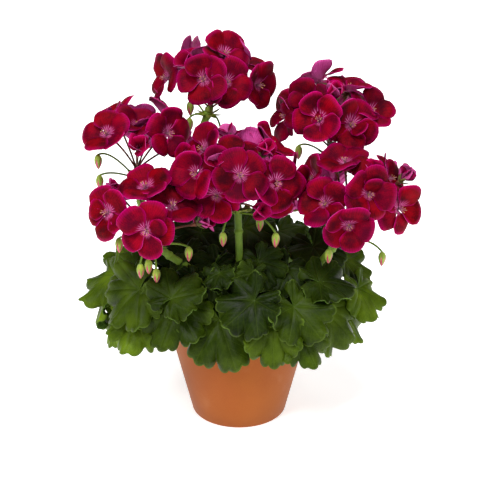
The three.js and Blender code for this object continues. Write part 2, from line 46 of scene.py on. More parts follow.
# leaf: petiole's end, facing of its upper side, size, turn, ruffle
shoots = {
    "front_left": {"foot": (-20, -20), "tip": (-33, -40, 146), "leaves": [
        ((-86, -68, 152), (-28, 38), 39, -30, 0.07),
        ((-86, -62, 126), (-32, 42), 38, 5, 0.06),
        ((-56, -88, 149), (-8, 55), 32, 150, 0.11),
        ((-52, -76, 141), (-12, 38), 42, -14, 0.07),
        ((-25, -64, 136), (8, 12), 27, 176, 0.08),
        ((-86, -38, 152), (-35, 48), 30, -60, 0.09),
        ((-48, -34, 168), (-10, 38), 32, 8, 0.08),
    ]},
    "front": {"foot": (2, -30), "tip": (1, -46, 150), "leaves": [
        ((-17, -86, 133), (-3, 36), 46, 20, 0.06),
        ((13, -90, 149), (-4, 48), 35, -40, 0.12),
        ((28, -94, 129), (4, 24), 34, 0, 0.08),
        ((27, -80, 112), (3, 12), 26, 0, 0.06),
        ((-20, -46, 164), (-8, 44), 29, -20, 0.08),
        ((16, -50, 168), (8, 42), 28, 20, 0.09),
    ]},
    "front_right": {"foot": (22, -18), "tip": (58, -32, 146), "leaves": [
        ((46, -86, 143), (14, 46), 36, 30, 0.1),
        ((48, -80, 118), (24, 28), 34, 12, 0.06),
        ((66, -62, 146), (24, 64), 32, 75, 0.08),
        ((71, -58, 127), (44, 36), 42, 30, 0.06),
        ((42, -48, 161), (2, 55), 28, -20, 0.12),
        ((66, -14, 168), (24, 52), 34, 10, 0.08),
    ]},
    "right": {"foot": (30, 10), "tip": (66, 18, 148), "leaves": [
        ((99, -18, 124), (56, 40), 32, -10, 0.08),
        ((97, -30, 107), (60, 24), 27, 10, 0.07),
        ((96, 6, 146), (62, 48), 34, -15, 0.08),
        ((96, 36, 126), (100, 34), 38, 0, 0.07),
        ((70, 62, 148), (140, 42), 36, 20, 0.08),
    ]},
    "back": {"foot": (4, 30), "tip": (10, 52, 150), "leaves": [
        ((44, 88, 128), (160, 32), 42, 0, 0.07),
        ((0, 94, 132), (182, 34), 44, -10, 0.06),
        ((22, 64, 162), (170, 52), 34, 30, 0.1),
        ((36, 10, 176), (10, 62), 32, 0, 0.08),
        ((4, 6, 178), (-6, 54), 36, 10, 0.08),
    ]},
    "back_left": {"foot": (-24, 18), "tip": (-42, 34, 150), "leaves": [
        ((-44, 86, 128), (200, 32), 42, 0, 0.07),
        ((-84, 56, 134), (232, 34), 40, -15, 0.07),
        ((-40, 60, 162), (205, 52), 34, 30, 0.09),
        ((-34, 0, 176), (-22, 52), 34, 0, 0.08),
    ]},
    "left": {"foot": (-32, -4), "tip": (-72, 0, 148), "leaves": [
        ((-108, 8, 150), (-62, 50), 33, 25, 0.08),
        ((-112, -14, 141), (-66, 40), 37, -5, 0.09),
        ((-116, -22, 124), (-80, 30), 33, -12, 0.08),
        ((-110, -38, 112), (-52, 20), 31, -8, 0.07),
        ((-106, 32, 124), (-104, 32), 38, 0, 0.07),
    ]},
}

# floret: azimuth, elevation and length of its pedicel; bud: azimuth, how far out, how far below the hub
heads = {
    "back_centre": {"shoot": "back_left", "hub": (-27, 25, 281), "bow": (-46, 22, 236), "florets": [
        (-8, 44, 42), (27, 43, 40), (-92, 36, 45), (84, 28, 46), (-130, 70, 42),
        (60, 74, 44), (120, 50, 46), (-150, 44, 46), (165, 36, 46)],
        "buds": [(-70, 17, 2), (-62, 19, 16), (42, 16, 24)]},
    "left_upper": {"shoot": "left", "hub": (-89, -5, 234), "bow": (-84, -2, 190), "florets": [
        (-52, 52, 46), (-130, 58, 44), (40, 84, 38), (70, 50, 46), (130, 56, 46), (178, 44, 44)],
        "buds": [(-50, 40, -12), (-60, 36, 9), (-30, 18, 16)]},
    "front_centre": {"shoot": "front", "hub": (-1, -45, 216), "bow": (0, -48, 184), "florets": [
        (-58, 40, 48), (3, 44, 48), (46, 34, 48), (-36, 29, 38), (-100, 34, 54), (-84, 60, 52),
        (-16, 80, 48), (108, 60, 54), (84, 30, 54), (64, 20, 44), (168, 36, 52)],
        "buds": [(-35, 22, 28), (52, 40, 26), (110, 20, 24)]},
    "left_lower": {"shoot": "front_left", "hub": (-72, -60, 192), "bow": (-58, -58, 172), "florets": [
        (-65, 38, 46), (0, 29, 42), (50, 52, 44), (-150, 52, 46), (-20, 80, 44), (130, 34, 46)],
        "buds": [(-28, 22, 26), (-10, 20, 22), (8, 20, 30), (62, 34, 12), (-60, 32, 4)]},
    "right_upper": {"shoot": "right", "hub": (81, 20, 246), "bow": (78, 19, 200), "florets": [
        (-21, 44, 44), (84, 44, 46), (-94, 36, 47), (-150, 70, 52), (100, 74, 52),
        (28, 42, 42), (-56, 56, 48), (-160, 34, 48), (158, 36, 48)],
        "buds": [(-58, 34, 2), (60, 16, 20)]},
    "right_lower": {"shoot": "front_right", "hub": (90, -45, 192), "bow": (78, -44, 176), "florets": [
        (-4, 27, 44), (25, 54, 48), (96, 54, 50), (-42, 46, 46), (74, 30, 46),
        (-110, 56, 54), (-40, 84, 56), (150, 70, 56), (124, 36, 54), (-165, 32, 50)],
        "buds": [(60, 36, 22), (-40, 22, 20)]},
}


# ---- directions, curves and small mesh tools ----

def facing(azimuth, elevation):
    a, e = math.radians(azimuth), math.radians(elevation)
    return np.array([math.sin(a) * math.cos(e), -math.cos(a) * math.cos(e), math.sin(e)])


def unit(v):
    return v / np.linalg.norm(v)


# columns: towards a blade's tip, to its side, and out of its upper face
def laidOn(up, turn):
    down = unit(np.array([0.0, 0.0, -1.0]) + up * up[2])
    t = math.radians(turn)
    tip = down * math.cos(t) + np.cross(up, down) * math.sin(t)
    return np.column_stack([tip, np.cross(up, tip), up])


def mix(a, b, share):
    return a + (b - a) * share


# every curve is kept as the four points of a cubic
def bentThrough(a, b, c):
    return [a, mix(a, b, 2 / 3), mix(c, b, 2 / 3), c]


def curvePoint(curve, t):
    a, b, c, d = curve
    return a * (1 - t) ** 3 + b * 3 * t * (1 - t) ** 2 + c * 3 * t ** 2 * (1 - t) + d * t ** 3


# the point at a share of the curve's length
def pointAlong(curve, share, steps=200):
    points = np.array([curvePoint(curve, i / steps) for i in range(steps + 1)])
    lengths = np.concatenate([[0], np.cumsum(np.linalg.norm(np.diff(points, axis=0), axis=1))])
    t = float(np.interp(share * lengths[-1], lengths, np.arange(steps + 1) / steps))
    return curvePoint(curve, t)


def metres(place):
    return Vector([float(c) * mm for c in place])


def matrixOf(place, turned):
    m = Matrix([list(row) for row in turned]).to_4x4()
    m.translation = metres(place)
    return m


def deselectAll():
    if bpy.context.object and bpy.context.object.mode != "OBJECT":
        bpy.ops.object.mode_set(mode="OBJECT")
    bpy.ops.object.select_all(action="DESELECT")


def makeActive(*objects):
    deselectAll()
    for o in objects:
        o.select_set(True)
    bpy.context.view_layer.objects.active = objects[0]


def joinAll(parts, name):
    makeActive(*parts)
    if len(parts) > 1:
        bpy.ops.object.join()
    piece = bpy.context.object
    piece.name = piece.data.name = name
    return piece


def mergeClose(piece, distance=0.00001):
    makeActive(piece)
    bpy.ops.object.mode_set(mode="EDIT")
    bpy.ops.mesh.select_all(action="SELECT")
    bpy.ops.mesh.remove_doubles(threshold=distance)
    bpy.ops.object.mode_set(mode="OBJECT")


def applyModifier(piece, kind, **settings):
    makeActive(piece)
    modifier = piece.modifiers.new(kind.title(), kind)
    for key, value in settings.items():
        setattr(modifier, key, value)
    bpy.ops.object.modifier_apply(modifier=modifier.name)


# a sheet gets its thickness, and its other side may take the next of its materials
def thicken(piece, thickness, otherSide=0):
    applyModifier(piece, "SOLIDIFY", thickness=thickness * mm, offset=0, material_offset=otherSide,
                  use_rim=True)


def smooth(piece):
    makeActive(piece)
    bpy.ops.object.shade_smooth()


# a flat grid with its own UV map: U runs across and V along
def newGrid(columns, rows):
    deselectAll()
    bpy.ops.mesh.primitive_grid_add(x_subdivisions=columns, y_subdivisions=rows, size=1)
    return bpy.context.object


def pointsOf(piece):
    flat = np.empty(len(piece.data.vertices) * 3)
    piece.data.vertices.foreach_get("co", flat)
    return flat.reshape(-1, 3).T


def gridShares(piece):
    x, y, _ = pointsOf(piece)
    return x + 0.5, y + 0.5


def fillMesh(piece, x, y, z):
    piece.data.vertices.foreach_set("co", np.column_stack([x, y, z]).ravel() * mm)
    piece.data.update()


def copyOf(piece, name, matrix=None):
    twin = piece.copy()
    twin.data = piece.data.copy()
    twin.name = name
    bpy.context.collection.objects.link(twin)
    if matrix is not None:
        twin.data.transform(matrix)
    return twin


# one number for all of a piece, which its material reads
def setValue(piece, name, value):
    layer = piece.data.attributes.get(name) or piece.data.attributes.new(name, "FLOAT", "POINT")
    layer.data.foreach_set("value", np.full(len(piece.data.vertices), value, dtype=np.float32))


def discard(piece):
    bpy.data.objects.remove(piece, do_unlink=True)


# round stems from one curve object: each path is a cubic with a radius at either end
def newStems(name, paths, sides=3, resolution=10):
    deselectAll()
    bpy.ops.curve.primitive_bezier_curve_add()
    stems = bpy.context.object
    stems.name = name
    data = stems.data
    data.splines.clear()
    data.bevel_depth = mm
    data.bevel_resolution = sides
    data.resolution_u = resolution
    data.use_fill_caps = True
    for curve, startRadius, endRadius in paths:
        spline = data.splines.new("BEZIER")
        spline.bezier_points.add(1)
        first, last = spline.bezier_points
        a, b, c, d = [metres(p) for p in curve]
        first.handle_left_type = first.handle_right_type = "FREE"
        last.handle_left_type = last.handle_right_type = "FREE"
        first.co, first.handle_right, first.handle_left = a, b, a * 2 - b
        last.co, last.handle_left, last.handle_right = d, c, d * 2 - c
        first.radius, last.radius = startRadius, endRadius
    makeActive(stems)
    bpy.ops.object.convert(target="MESH")
    piece = bpy.context.object
    mergeClose(piece)
    smooth(piece)
    return piece


def dress(piece, *materials):
    piece.data.materials.clear()
    for m in materials:
        piece.data.materials.append(m)


# ---- shader tools ----

# red, green and blue as a screen shows them, 0 to 255, made linear
def colour(*tones):
    linear = [((c / 255 + 0.055) / 1.055) ** 2.4 if c > 10 else c / 255 / 12.92 for c in tones]
    return (*linear, 1.0)


def maths(tree, operation, a, b=None, clamp=False):
    node = tree.nodes.new("ShaderNodeMath")
    node.operation = operation
    node.use_clamp = clamp
    for socket, value in zip(node.inputs, (a, b)):
        if isinstance(value, (int, float)):
            socket.default_value = value
        elif value is not None:
            tree.links.new(value, socket)
    return node.outputs[0]


# 0 below low, 1 above high, eased between
def rise(tree, value, low, high):
    node = tree.nodes.new("ShaderNodeMapRange")
    node.interpolation_type = "SMOOTHSTEP"
    tree.links.new(value, node.inputs["Value"])
    node.inputs["From Min"].default_value = low
    node.inputs["From Max"].default_value = high
    return node.outputs["Result"]


# 1 below low, 0 above high, eased between
def fall(tree, value, low, high):
    return maths(tree, "SUBTRACT", 1.0, rise(tree, value, low, high))


def scaled(tree, value, factor):
    return maths(tree, "MULTIPLY", value, factor)


def fromHalf(tree, share):
    return maths(tree, "ABSOLUTE", maths(tree, "SUBTRACT", share, 0.5))


def blendColours(tree, share, a, b):
    node = tree.nodes.new("ShaderNodeMix")
    node.data_type = "RGBA"
    for socket, value in ((node.inputs["Factor"], share), (node.inputs[6], a), (node.inputs[7], b)):
        if isinstance(value, (int, float, tuple)):
            socket.default_value = value
        else:
            tree.links.new(value, socket)
    return node.outputs[2]


# a tone laid over a colour, by its own share of a mask
def laidOver(tree, body, mask, share, tone):
    return blendColours(tree, scaled(tree, mask, share), body, colour(*tone))


def objectPoint(tree):
    return tree.nodes.new("ShaderNodeTexCoord").outputs["Object"]


def uvPair(tree):
    split = tree.nodes.new("ShaderNodeSeparateXYZ")
    tree.links.new(tree.nodes.new("ShaderNodeTexCoord").outputs["UV"], split.inputs[0])
    return split.outputs[0], split.outputs[1]


def attribute(tree, name):
    node = tree.nodes.new("ShaderNodeAttribute")
    node.attribute_name = name
    return node.outputs["Fac"]


def noise(tree, where, scale, detail=3.0):
    node = tree.nodes.new("ShaderNodeTexNoise")
    node.inputs["Scale"].default_value = scale
    node.inputs["Detail"].default_value = detail
    tree.links.new(where, node.inputs["Vector"])
    return node.outputs["Fac"]


def newGroup(name, inputs, outputs):
    tree = bpy.data.node_groups.new(name, "ShaderNodeTree")
    for label, kind, value in inputs:
        socket = tree.interface.new_socket(name=label, in_out="INPUT", socket_type=kind)
        if value is not None:
            socket.default_value = value
    for label, kind in outputs:
        tree.interface.new_socket(name=label, in_out="OUTPUT", socket_type=kind)
    return tree, tree.nodes.new("NodeGroupInput"), tree.nodes.new("NodeGroupOutput")


def placeGroup(tree, group, **values):
    node = tree.nodes.new("ShaderNodeGroup")
    node.node_tree = group
    for label, value in values.items():
        socket = node.inputs[label]
        if isinstance(value, (int, float, tuple)):
            socket.default_value = value
        else:
            tree.links.new(value, socket)
    return node


# a soft wander between two colours, in two sizes of patch
def buildDriftGroup():
    tree, inside, outside = newGroup(
        "colourDrift",
        [("Low", "NodeSocketColor", None), ("High", "NodeSocketColor", None),
         ("Scale", "NodeSocketFloat", 30.0)],
        [("Colour", "NodeSocketColor"), ("Share", "NodeSocketFloat")])
    where = objectPoint(tree)
    patches = tree.nodes.new("ShaderNodeTexNoise")
    patches.inputs["Detail"].default_value = 4
    tree.links.new(where, patches.inputs["Vector"])
    tree.links.new(inside.outputs["Scale"], patches.inputs["Scale"])
    fine = noise(tree, where, 900, 2)
    both = maths(tree, "ADD", patches.outputs["Fac"], scaled(tree, fine, 0.25))
    share = rise(tree, both, 0.42, 0.86)
    result = blendColours(tree, share, inside.outputs["Low"], inside.outputs["High"])
    tree.links.new(result, outside.inputs["Colour"])
    tree.links.new(share, outside.inputs["Share"])
    return tree


# fine down on green parts, as a height with a point in the middle of each cell
def buildDownGroup():
    tree, inside, outside = newGroup(
        "fineDown", [("Scale", "NodeSocketFloat", 2500.0)], [("Height", "NodeSocketFloat")])
    cells = tree.nodes.new("ShaderNodeTexVoronoi")
    cells.inputs["Randomness"].default_value = 1
    tree.links.new(objectPoint(tree), cells.inputs["Vector"])
    tree.links.new(inside.outputs["Scale"], cells.inputs["Scale"])
    tree.links.new(maths(tree, "SUBTRACT", 1.0, cells.outputs["Distance"]), outside.inputs["Height"])
    return tree


veinForm = {
    "lobes": 7.0,
    "lobeAngle": 48,
    "main": 0.022,  # half the width of a main vein, as a share of the leaf
    "ladder": 5.5,  # side veins along each main one
    "slant": 1.25,
    "stagger": 0.45,
    "side": (0.13, 0.6),  # width and strength of the side veins, then of the net
    "net": (0.16, 0.22),
    "netScale": 330,
}


# seven main veins that fan from the petiole, each with side veins, and a net between them
def buildLeafVeinGroup():
    v = veinForm
    tree, inside, outside = newGroup(
        "palmateVeins", [("Across", "NodeSocketFloat", 0.5), ("Along", "NodeSocketFloat", 0.5)],
        [("Veins", "NodeSocketFloat"), ("Height", "NodeSocketFloat")])
    across, along = inside.outputs["Across"], inside.outputs["Along"]
    lobe = scaled(tree, maths(tree, "SUBTRACT", across, 0.5), v["lobes"])
    fromMiddle = maths(tree, "SUBTRACT", lobe, maths(tree, "ROUND", lobe))
    angle = scaled(tree, maths(tree, "ABSOLUTE", fromMiddle), math.radians(v["lobeAngle"]))
    aside = scaled(tree, along, maths(tree, "SINE", angle))
    ahead = scaled(tree, along, maths(tree, "COSINE", angle))
    main = fall(tree, aside, 0.0, v["main"])
    stagger = scaled(tree, maths(tree, "GREATER_THAN", fromMiddle, 0.0), v["stagger"])
    slanted = maths(tree, "SUBTRACT", ahead, scaled(tree, aside, v["slant"]))
    step = maths(tree, "FRACT", maths(tree, "ADD", scaled(tree, slanted, v["ladder"]), stagger))
    side = scaled(tree, fall(tree, fromHalf(tree, step), 0.0, v["side"][0]), rise(tree, along, 0.2, 0.45))
    net = tree.nodes.new("ShaderNodeTexVoronoi")
    net.feature = "DISTANCE_TO_EDGE"
    net.inputs["Scale"].default_value = v["netScale"]
    tree.links.new(objectPoint(tree), net.inputs["Vector"])
    mesh = fall(tree, net.outputs["Distance"], 0.0, v["net"][0])
    veins = maths(tree, "MAXIMUM", main, scaled(tree, side, v["side"][1]))
    veins = maths(tree, "MAXIMUM", veins, scaled(tree, mesh, v["net"][1]))
    tree.links.new(veins, outside.inputs["Veins"])
    tree.links.new(maths(tree, "SUBTRACT", 1.0, veins), outside.inputs["Height"])
    return tree


# how many rays cross a petal, and how wide each is drawn
rayForm = {"Rays": (5.0, 0.3), "Fine": (17.0, 0.34), "sway": 0.12}


# fine rays that run out from a petal's claw and sway on their way, and how far they reach
def buildPetalVeinGroup():
    tree, inside, outside = newGroup(
        "petalRays", [("Across", "NodeSocketFloat", 0.5), ("Along", "NodeSocketFloat", 0.5)],
        [("Rays", "NodeSocketFloat"), ("Fine", "NodeSocketFloat"), ("Wander", "NodeSocketFloat")])
    across, along = inside.outputs["Across"], inside.outputs["Along"]
    spread = tree.nodes.new("ShaderNodeCombineXYZ")
    tree.links.new(scaled(tree, across, 5.5), spread.inputs[0])
    tree.links.new(scaled(tree, along, 0.8), spread.inputs[1])
    sway = maths(tree, "SUBTRACT", noise(tree, spread.outputs[0], 1.6, 1), 0.5)
    swayed = maths(tree, "ADD", across, scaled(tree, sway, rayForm["sway"]))
    for label in ("Rays", "Fine"):
        count, width = rayForm[label]
        ray = maths(tree, "FRACT", scaled(tree, swayed, count))
        tree.links.new(fall(tree, fromHalf(tree, ray), 0.0, width), outside.inputs[label])
    sideways = tree.nodes.new("ShaderNodeCombineXYZ")
    tree.links.new(across, sideways.inputs[0])
    fromRay = noise(tree, sideways.outputs[0], 9, 1)
    fromPlace = noise(tree, objectPoint(tree), 55, 1)
    lengths = maths(tree, "ADD", fromRay, fromPlace)
    tree.links.new(maths(tree, "SUBTRACT", lengths, 0.5), outside.inputs["Wander"])
    return tree


groups = {
    "drift": buildDriftGroup(),
    "down": buildDownGroup(),
    "leafVeins": buildLeafVeinGroup(),
    "petalRays": buildPetalVeinGroup(),
}


def newMaterial(name, roughness=0.6, sheen=0.0, sheenTint=None, specular=0.5):
    material = bpy.data.materials.new(name)
    material.use_nodes = True
    shader = material.node_tree.nodes["Principled BSDF"]
    shader.inputs["Roughness"].default_value = roughness
    shader.inputs["Specular IOR Level"].default_value = specular
    shader.inputs["Sheen Weight"].default_value = sheen
    if sheenTint:
        shader.inputs["Sheen Tint"].default_value = sheenTint
    return material, material.node_tree, shader


def addBump(tree, shader, height, strength, distance):
    bump = tree.nodes.new("ShaderNodeBump")
    bump.inputs["Strength"].default_value = strength
    bump.inputs["Distance"].default_value = distance
    tree.links.new(height, bump.inputs["Height"])
    tree.links.new(bump.outputs["Normal"], shader.inputs["Normal"])


# a soft drift between two tones
def driftOf(tree, tones, scale):
    low, high = tones
    return placeGroup(tree, groups["drift"], Low=colour(*low), High=colour(*high), Scale=scale)


# ---- finishes: tones are as a screen shows them, and each share is how strongly one is laid on ----

clayLook = {
    "tones": ((146, 72, 18), (158, 84, 24)),
    "patches": 14.0,
    "dust": (0.25, (172, 116, 78)),
    "sheen": 0.2,
    "sheenTint": (226, 220, 214),
    "specular": 0.12,
    "roughness": (0.58, 0.2),  # at the least, and how much the grain adds
    "grain": 1600,
}


def buildClay():
    k = clayLook
    material, tree, shader = newMaterial(
        "terracotta", sheen=k["sheen"], sheenTint=colour(*k["sheenTint"]), specular=k["specular"])
    drift = driftOf(tree, k["tones"], k["patches"])
    where = objectPoint(tree)
    grain = noise(tree, where, k["grain"], 4)
    dust = rise(tree, noise(tree, where, 42, 5), 0.6, 0.8)
    tree.links.new(laidOver(tree, drift.outputs["Colour"], dust, *k["dust"]), shader.inputs["Base Color"])
    least, more = k["roughness"]
    tree.links.new(maths(tree, "ADD", scaled(tree, grain, more), least), shader.inputs["Roughness"])
    addBump(tree, shader, grain, 0.25, 0.0003)
    return material


soilLook = {"tones": ((28, 19, 13), (74, 52, 36)), "patches": 180.0, "lumps": 420}


def buildSoil():
    material, tree, shader = newMaterial("potting_soil", roughness=0.95, specular=0.2)
    drift = driftOf(tree, soilLook["tones"], soilLook["patches"])
    tree.links.new(drift.outputs["Colour"], shader.inputs["Base Color"])
    addBump(tree, shader, noise(tree, objectPoint(tree), soilLook["lumps"], 6), 0.9, 0.0015)
    return material


leafLook = {
    "patches": 48.0,
    # the dark tones go to the inner leaves under the blooms and the bright ones to the outer and lowest
    # leaves: partly their own tone, partly painted shade and painted light
    "dark": ((12, 22, 1), (30, 44, 4)),  # the inner leaves
    "bright": ((62, 84, 6), (104, 128, 22)),  # the outer and the lowest ones
    "zone": (0.3, (12, 28, 4)),  # the darker ring half way out
    "veins": (0.2, (78, 98, 26)),
    "heart": (0.2, (66, 88, 18)),
    "rim": (0.32, (102, 124, 46)),
    "roughness": (0.34, 0.12),
    "under": ((58, 86, 24), (82, 110, 38)),
    "ribs": (0.6, (110, 134, 60)),
}


def buildLeafUpper():
    k = leafLook
    material, tree, shader = newMaterial("leaf_upper", specular=0.07)
    across, along = uvPair(tree)
    drift = driftOf(tree, k["dark"], k["patches"])
    bright = driftOf(tree, k["bright"], k["patches"])
    # painted shade: each leaf's tint, set by where it stands, blends the darker inner tones towards the
    # lighter outer ones
    body = blendColours(tree, attribute(tree, "tint"), drift.outputs["Colour"], bright.outputs["Colour"])
    veins = placeGroup(tree, groups["leafVeins"], Across=across, Along=along)
    zone = maths(tree, "MULTIPLY", rise(tree, along, 0.3, 0.5), fall(tree, along, 0.6, 0.86))
    body = laidOver(tree, body, zone, *k["zone"])
    body = laidOver(tree, body, veins.outputs["Veins"], *k["veins"])
    body = laidOver(tree, body, fall(tree, along, 0.03, 0.4), *k["heart"])
    body = laidOver(tree, body, rise(tree, along, 0.96, 0.995), *k["rim"])
    tree.links.new(body, shader.inputs["Base Color"])
    least, more = k["roughness"]
    uneven = maths(tree, "ADD", scaled(tree, drift.outputs["Share"], more), least)
    tree.links.new(uneven, shader.inputs["Roughness"])
    down = placeGroup(tree, groups["down"], Scale=1500.0)
    height = maths(tree, "ADD", veins.outputs["Height"], scaled(tree, down.outputs["Height"], 0.25))
    addBump(tree, shader, height, 0.35, 0.0006)
    return material


def buildLeafUnder():
    k = leafLook
    material, tree, shader = newMaterial("leaf_under", roughness=0.72, specular=0.12)
    across, along = uvPair(tree)
    drift = driftOf(tree, k["under"], k["patches"])
    veins = placeGroup(tree, groups["leafVeins"], Across=across, Along=along)
    ribbed = laidOver(tree, drift.outputs["Colour"], veins.outputs["Veins"], *k["ribs"])
    tree.links.new(ribbed, shader.inputs["Base Color"])
    addBump(tree, shader, veins.outputs["Veins"], 0.6, 0.0007)
    return material


# tones, how fine the patches are, how strongly the down shows, and for shoots a tone above a height
stemLooks = {
    "shoot_stem": ((62, 70, 30), (92, 102, 46), 60.0, 0.5, (142, (92, 122, 28))),
    "petiole": ((58, 90, 18), (90, 124, 32), 60.0, 0.5, None),
    "flower_stalk": ((78, 108, 20), (116, 144, 38), 60.0, 0.5, None),
    "bract": ((104, 122, 34), (146, 152, 62), 160.0, 0.5, None),
    "pedicel": ((84, 38, 26), (124, 70, 44), 60.0, 0.5, None),
    "sepal": ((84, 74, 36), (112, 108, 50), 140.0, 0.5, None),
    "filament": ((160, 80, 110), (200, 150, 170), 300.0, 0.1, None),
    "anther": ((150, 84, 56), (184, 134, 84), 400.0, 0.3, None),
}
stemEase = 30  # the stretch below that height over which the tone changes


def buildStem(name):
    low, high, patches, downStrength, above = stemLooks[name]
    material, tree, shader = newMaterial(
        name, roughness=0.5, sheen=0.06, sheenTint=colour(220, 230, 200), specular=0.3)
    body = driftOf(tree, (low, high), patches).outputs["Colour"]
    if above:
        height, upper = above
        split = tree.nodes.new("ShaderNodeSeparateXYZ")
        tree.links.new(objectPoint(tree), split.inputs[0])
        share = rise(tree, split.outputs[2], (height - stemEase) * mm, height * mm)
        body = blendColours(tree, share, body, colour(*upper))
    tree.links.new(body, shader.inputs["Base Color"])
    down = placeGroup(tree, groups["down"], Scale=2200.0)
    addBump(tree, shader, down.outputs["Height"], downStrength, 0.0003)
    return material


petalLook = {
    "patches": 75.0,
    "velvet": ((46, 0, 4), (136, 0, 13)),
    "edge": (0.7, (164, 0, 76)),
    "rim": (0.6, (212, 14, 132)),
    "fineRays": (0.3, (60, 0, 12)),
    "reach": (0.07, 0.23),  # how far the pale streaks reach, and how much further on an upper petal
    "glow": (0.6, (172, 6, 90)),
    "darkRays": (0.6, (72, 0, 20)),
    "streaks": (0.95, (232, 128, 190)),
    "claw": (0.7, (212, 130, 176)),
    "deep": (0.4, (48, 0, 20)),
    "underPatches": 40.0,
    "under": ((148, 6, 82), (204, 78, 156)),
    "underBase": (0.7, (210, 108, 172)),
    "underYoung": (0.6, (218, 98, 168)),
    "underRays": (0.35, (118, 4, 56)),
}


# velvet crimson that turns magenta at the margin, with pale streaks and dark rays from the claw
def buildPetalUpper():
    k = petalLook
    material, tree, shader = newMaterial("petal_upper", roughness=0.6, specular=0.03)
    across, along = uvPair(tree)
    eye = attribute(tree, "eye")
    rays = placeGroup(tree, groups["petalRays"], Across=across, Along=along)
    drift = driftOf(tree, k["velvet"], k["patches"])
    side = fromHalf(tree, across)
    edge = maths(tree, "MAXIMUM", rise(tree, along, 0.78, 1.0), rise(tree, side, 0.38, 0.5))
    edge = maths(tree, "ADD", edge, scaled(tree, attribute(tree, "tint"), 0.35), clamp=True)
    body = laidOver(tree, drift.outputs["Colour"], edge, *k["edge"])
    rim = maths(tree, "MAXIMUM", rise(tree, along, 0.95, 1.0), rise(tree, side, 0.465, 0.5))
    body = laidOver(tree, body, rim, *k["rim"])
    body = laidOver(tree, body, rays.outputs["Fine"], *k["fineRays"])
    least, more = k["reach"]
    reach = maths(tree, "ADD", scaled(tree, eye, more), least)
    reach = maths(tree, "MULTIPLY", reach, maths(tree, "ADD", rays.outputs["Wander"], 0.5))
    within = fall(tree, maths(tree, "DIVIDE", along, reach), 0.4, 1.3)
    body = laidOver(tree, body, within, *k["glow"])
    darkRays = maths(tree, "MULTIPLY", rays.outputs["Fine"], fall(tree, along, 0.1, 0.5))
    body = laidOver(tree, body, darkRays, *k["darkRays"])
    streaks = maths(tree, "MULTIPLY", within, rays.outputs["Rays"])
    body = laidOver(tree, body, streaks, *k["streaks"])
    claw = maths(tree, "MULTIPLY", fall(tree, along, 0.02, 0.1), eye)
    body = laidOver(tree, body, claw, *k["claw"])
    body = laidOver(tree, body, attribute(tree, "deep"), *k["deep"])
    tree.links.new(body, shader.inputs["Base Color"])
    addBump(tree, shader, rays.outputs["Fine"], 0.3, 0.0003)
    return material


def buildPetalUnder():
    k = petalLook
    material, tree, shader = newMaterial("petal_under", roughness=0.55, specular=0.06)
    across, along = uvPair(tree)
    rays = placeGroup(tree, groups["petalRays"], Across=across, Along=along)
    drift = driftOf(tree, k["under"], k["underPatches"])
    body = laidOver(tree, drift.outputs["Colour"], fall(tree, along, 0.05, 0.6), *k["underBase"])
    body = laidOver(tree, body, rise(tree, attribute(tree, "tint"), 0.6, 1.0), *k["underYoung"])
    body = laidOver(tree, body, rays.outputs["Fine"], *k["underRays"])
    tree.links.new(body, shader.inputs["Base Color"])
    addBump(tree, shader, rays.outputs["Fine"], 0.3, 0.0003)
    return material


budLook = {
    "sepals": ((112, 138, 24), (158, 176, 50)),
    "petals": ((168, 8, 66), (204, 66, 116)),
    "count": 5.0,
    "close": 0.62,  # how much more the sepals close towards the stalk
    "bare": (0.6, 0.7),
}


# green sepals that part towards the tip, with the folded petals showing between them
def buildBudSkin():
    k = budLook
    material, tree, shader = newMaterial(
        "bud_skin", roughness=0.5, sheen=0.25, sheenTint=colour(230, 235, 210))
    around, along = uvPair(tree)
    sepal = fromHalf(tree, maths(tree, "FRACT", scaled(tree, around, k["count"])))
    gap = maths(tree, "ADD", sepal, scaled(tree, maths(tree, "SUBTRACT", 1.0, along), k["close"]))
    green = driftOf(tree, k["sepals"], 160.0)
    red = driftOf(tree, k["petals"], 260.0)
    skin = blendColours(tree, rise(tree, gap, *k["bare"]), green.outputs["Colour"], red.outputs["Colour"])
    tree.links.new(skin, shader.inputs["Base Color"])
    down = placeGroup(tree, groups["down"], Scale=2200.0)
    addBump(tree, shader, down.outputs["Height"], 0.4, 0.0003)
    return material


finishes = {
    "clay": buildClay(),
    "soil": buildSoil(),
    "leafUpper": buildLeafUpper(),
    "leafUnder": buildLeafUnder(),
    **{name: buildStem(name) for name in stemLooks},
    "budSkin": buildBudSkin(),
    "petalUpper": buildPetalUpper(),
    "petalUnder": buildPetalUnder(),
}
print("finishes built")


# ---- pot and soil ----

clayPot = {
    "height": 112,
    "baseRadius": 44,
    "topRadius": 71,
    "wall": 6,
    "sides": 128,
    "round": 1.5,
    "outerRings": (0, 22, 45, 68, 90, 112),  # heights, up the outside and down the inside to the floor
    "innerRings": (112, 108, 60, 8),
}


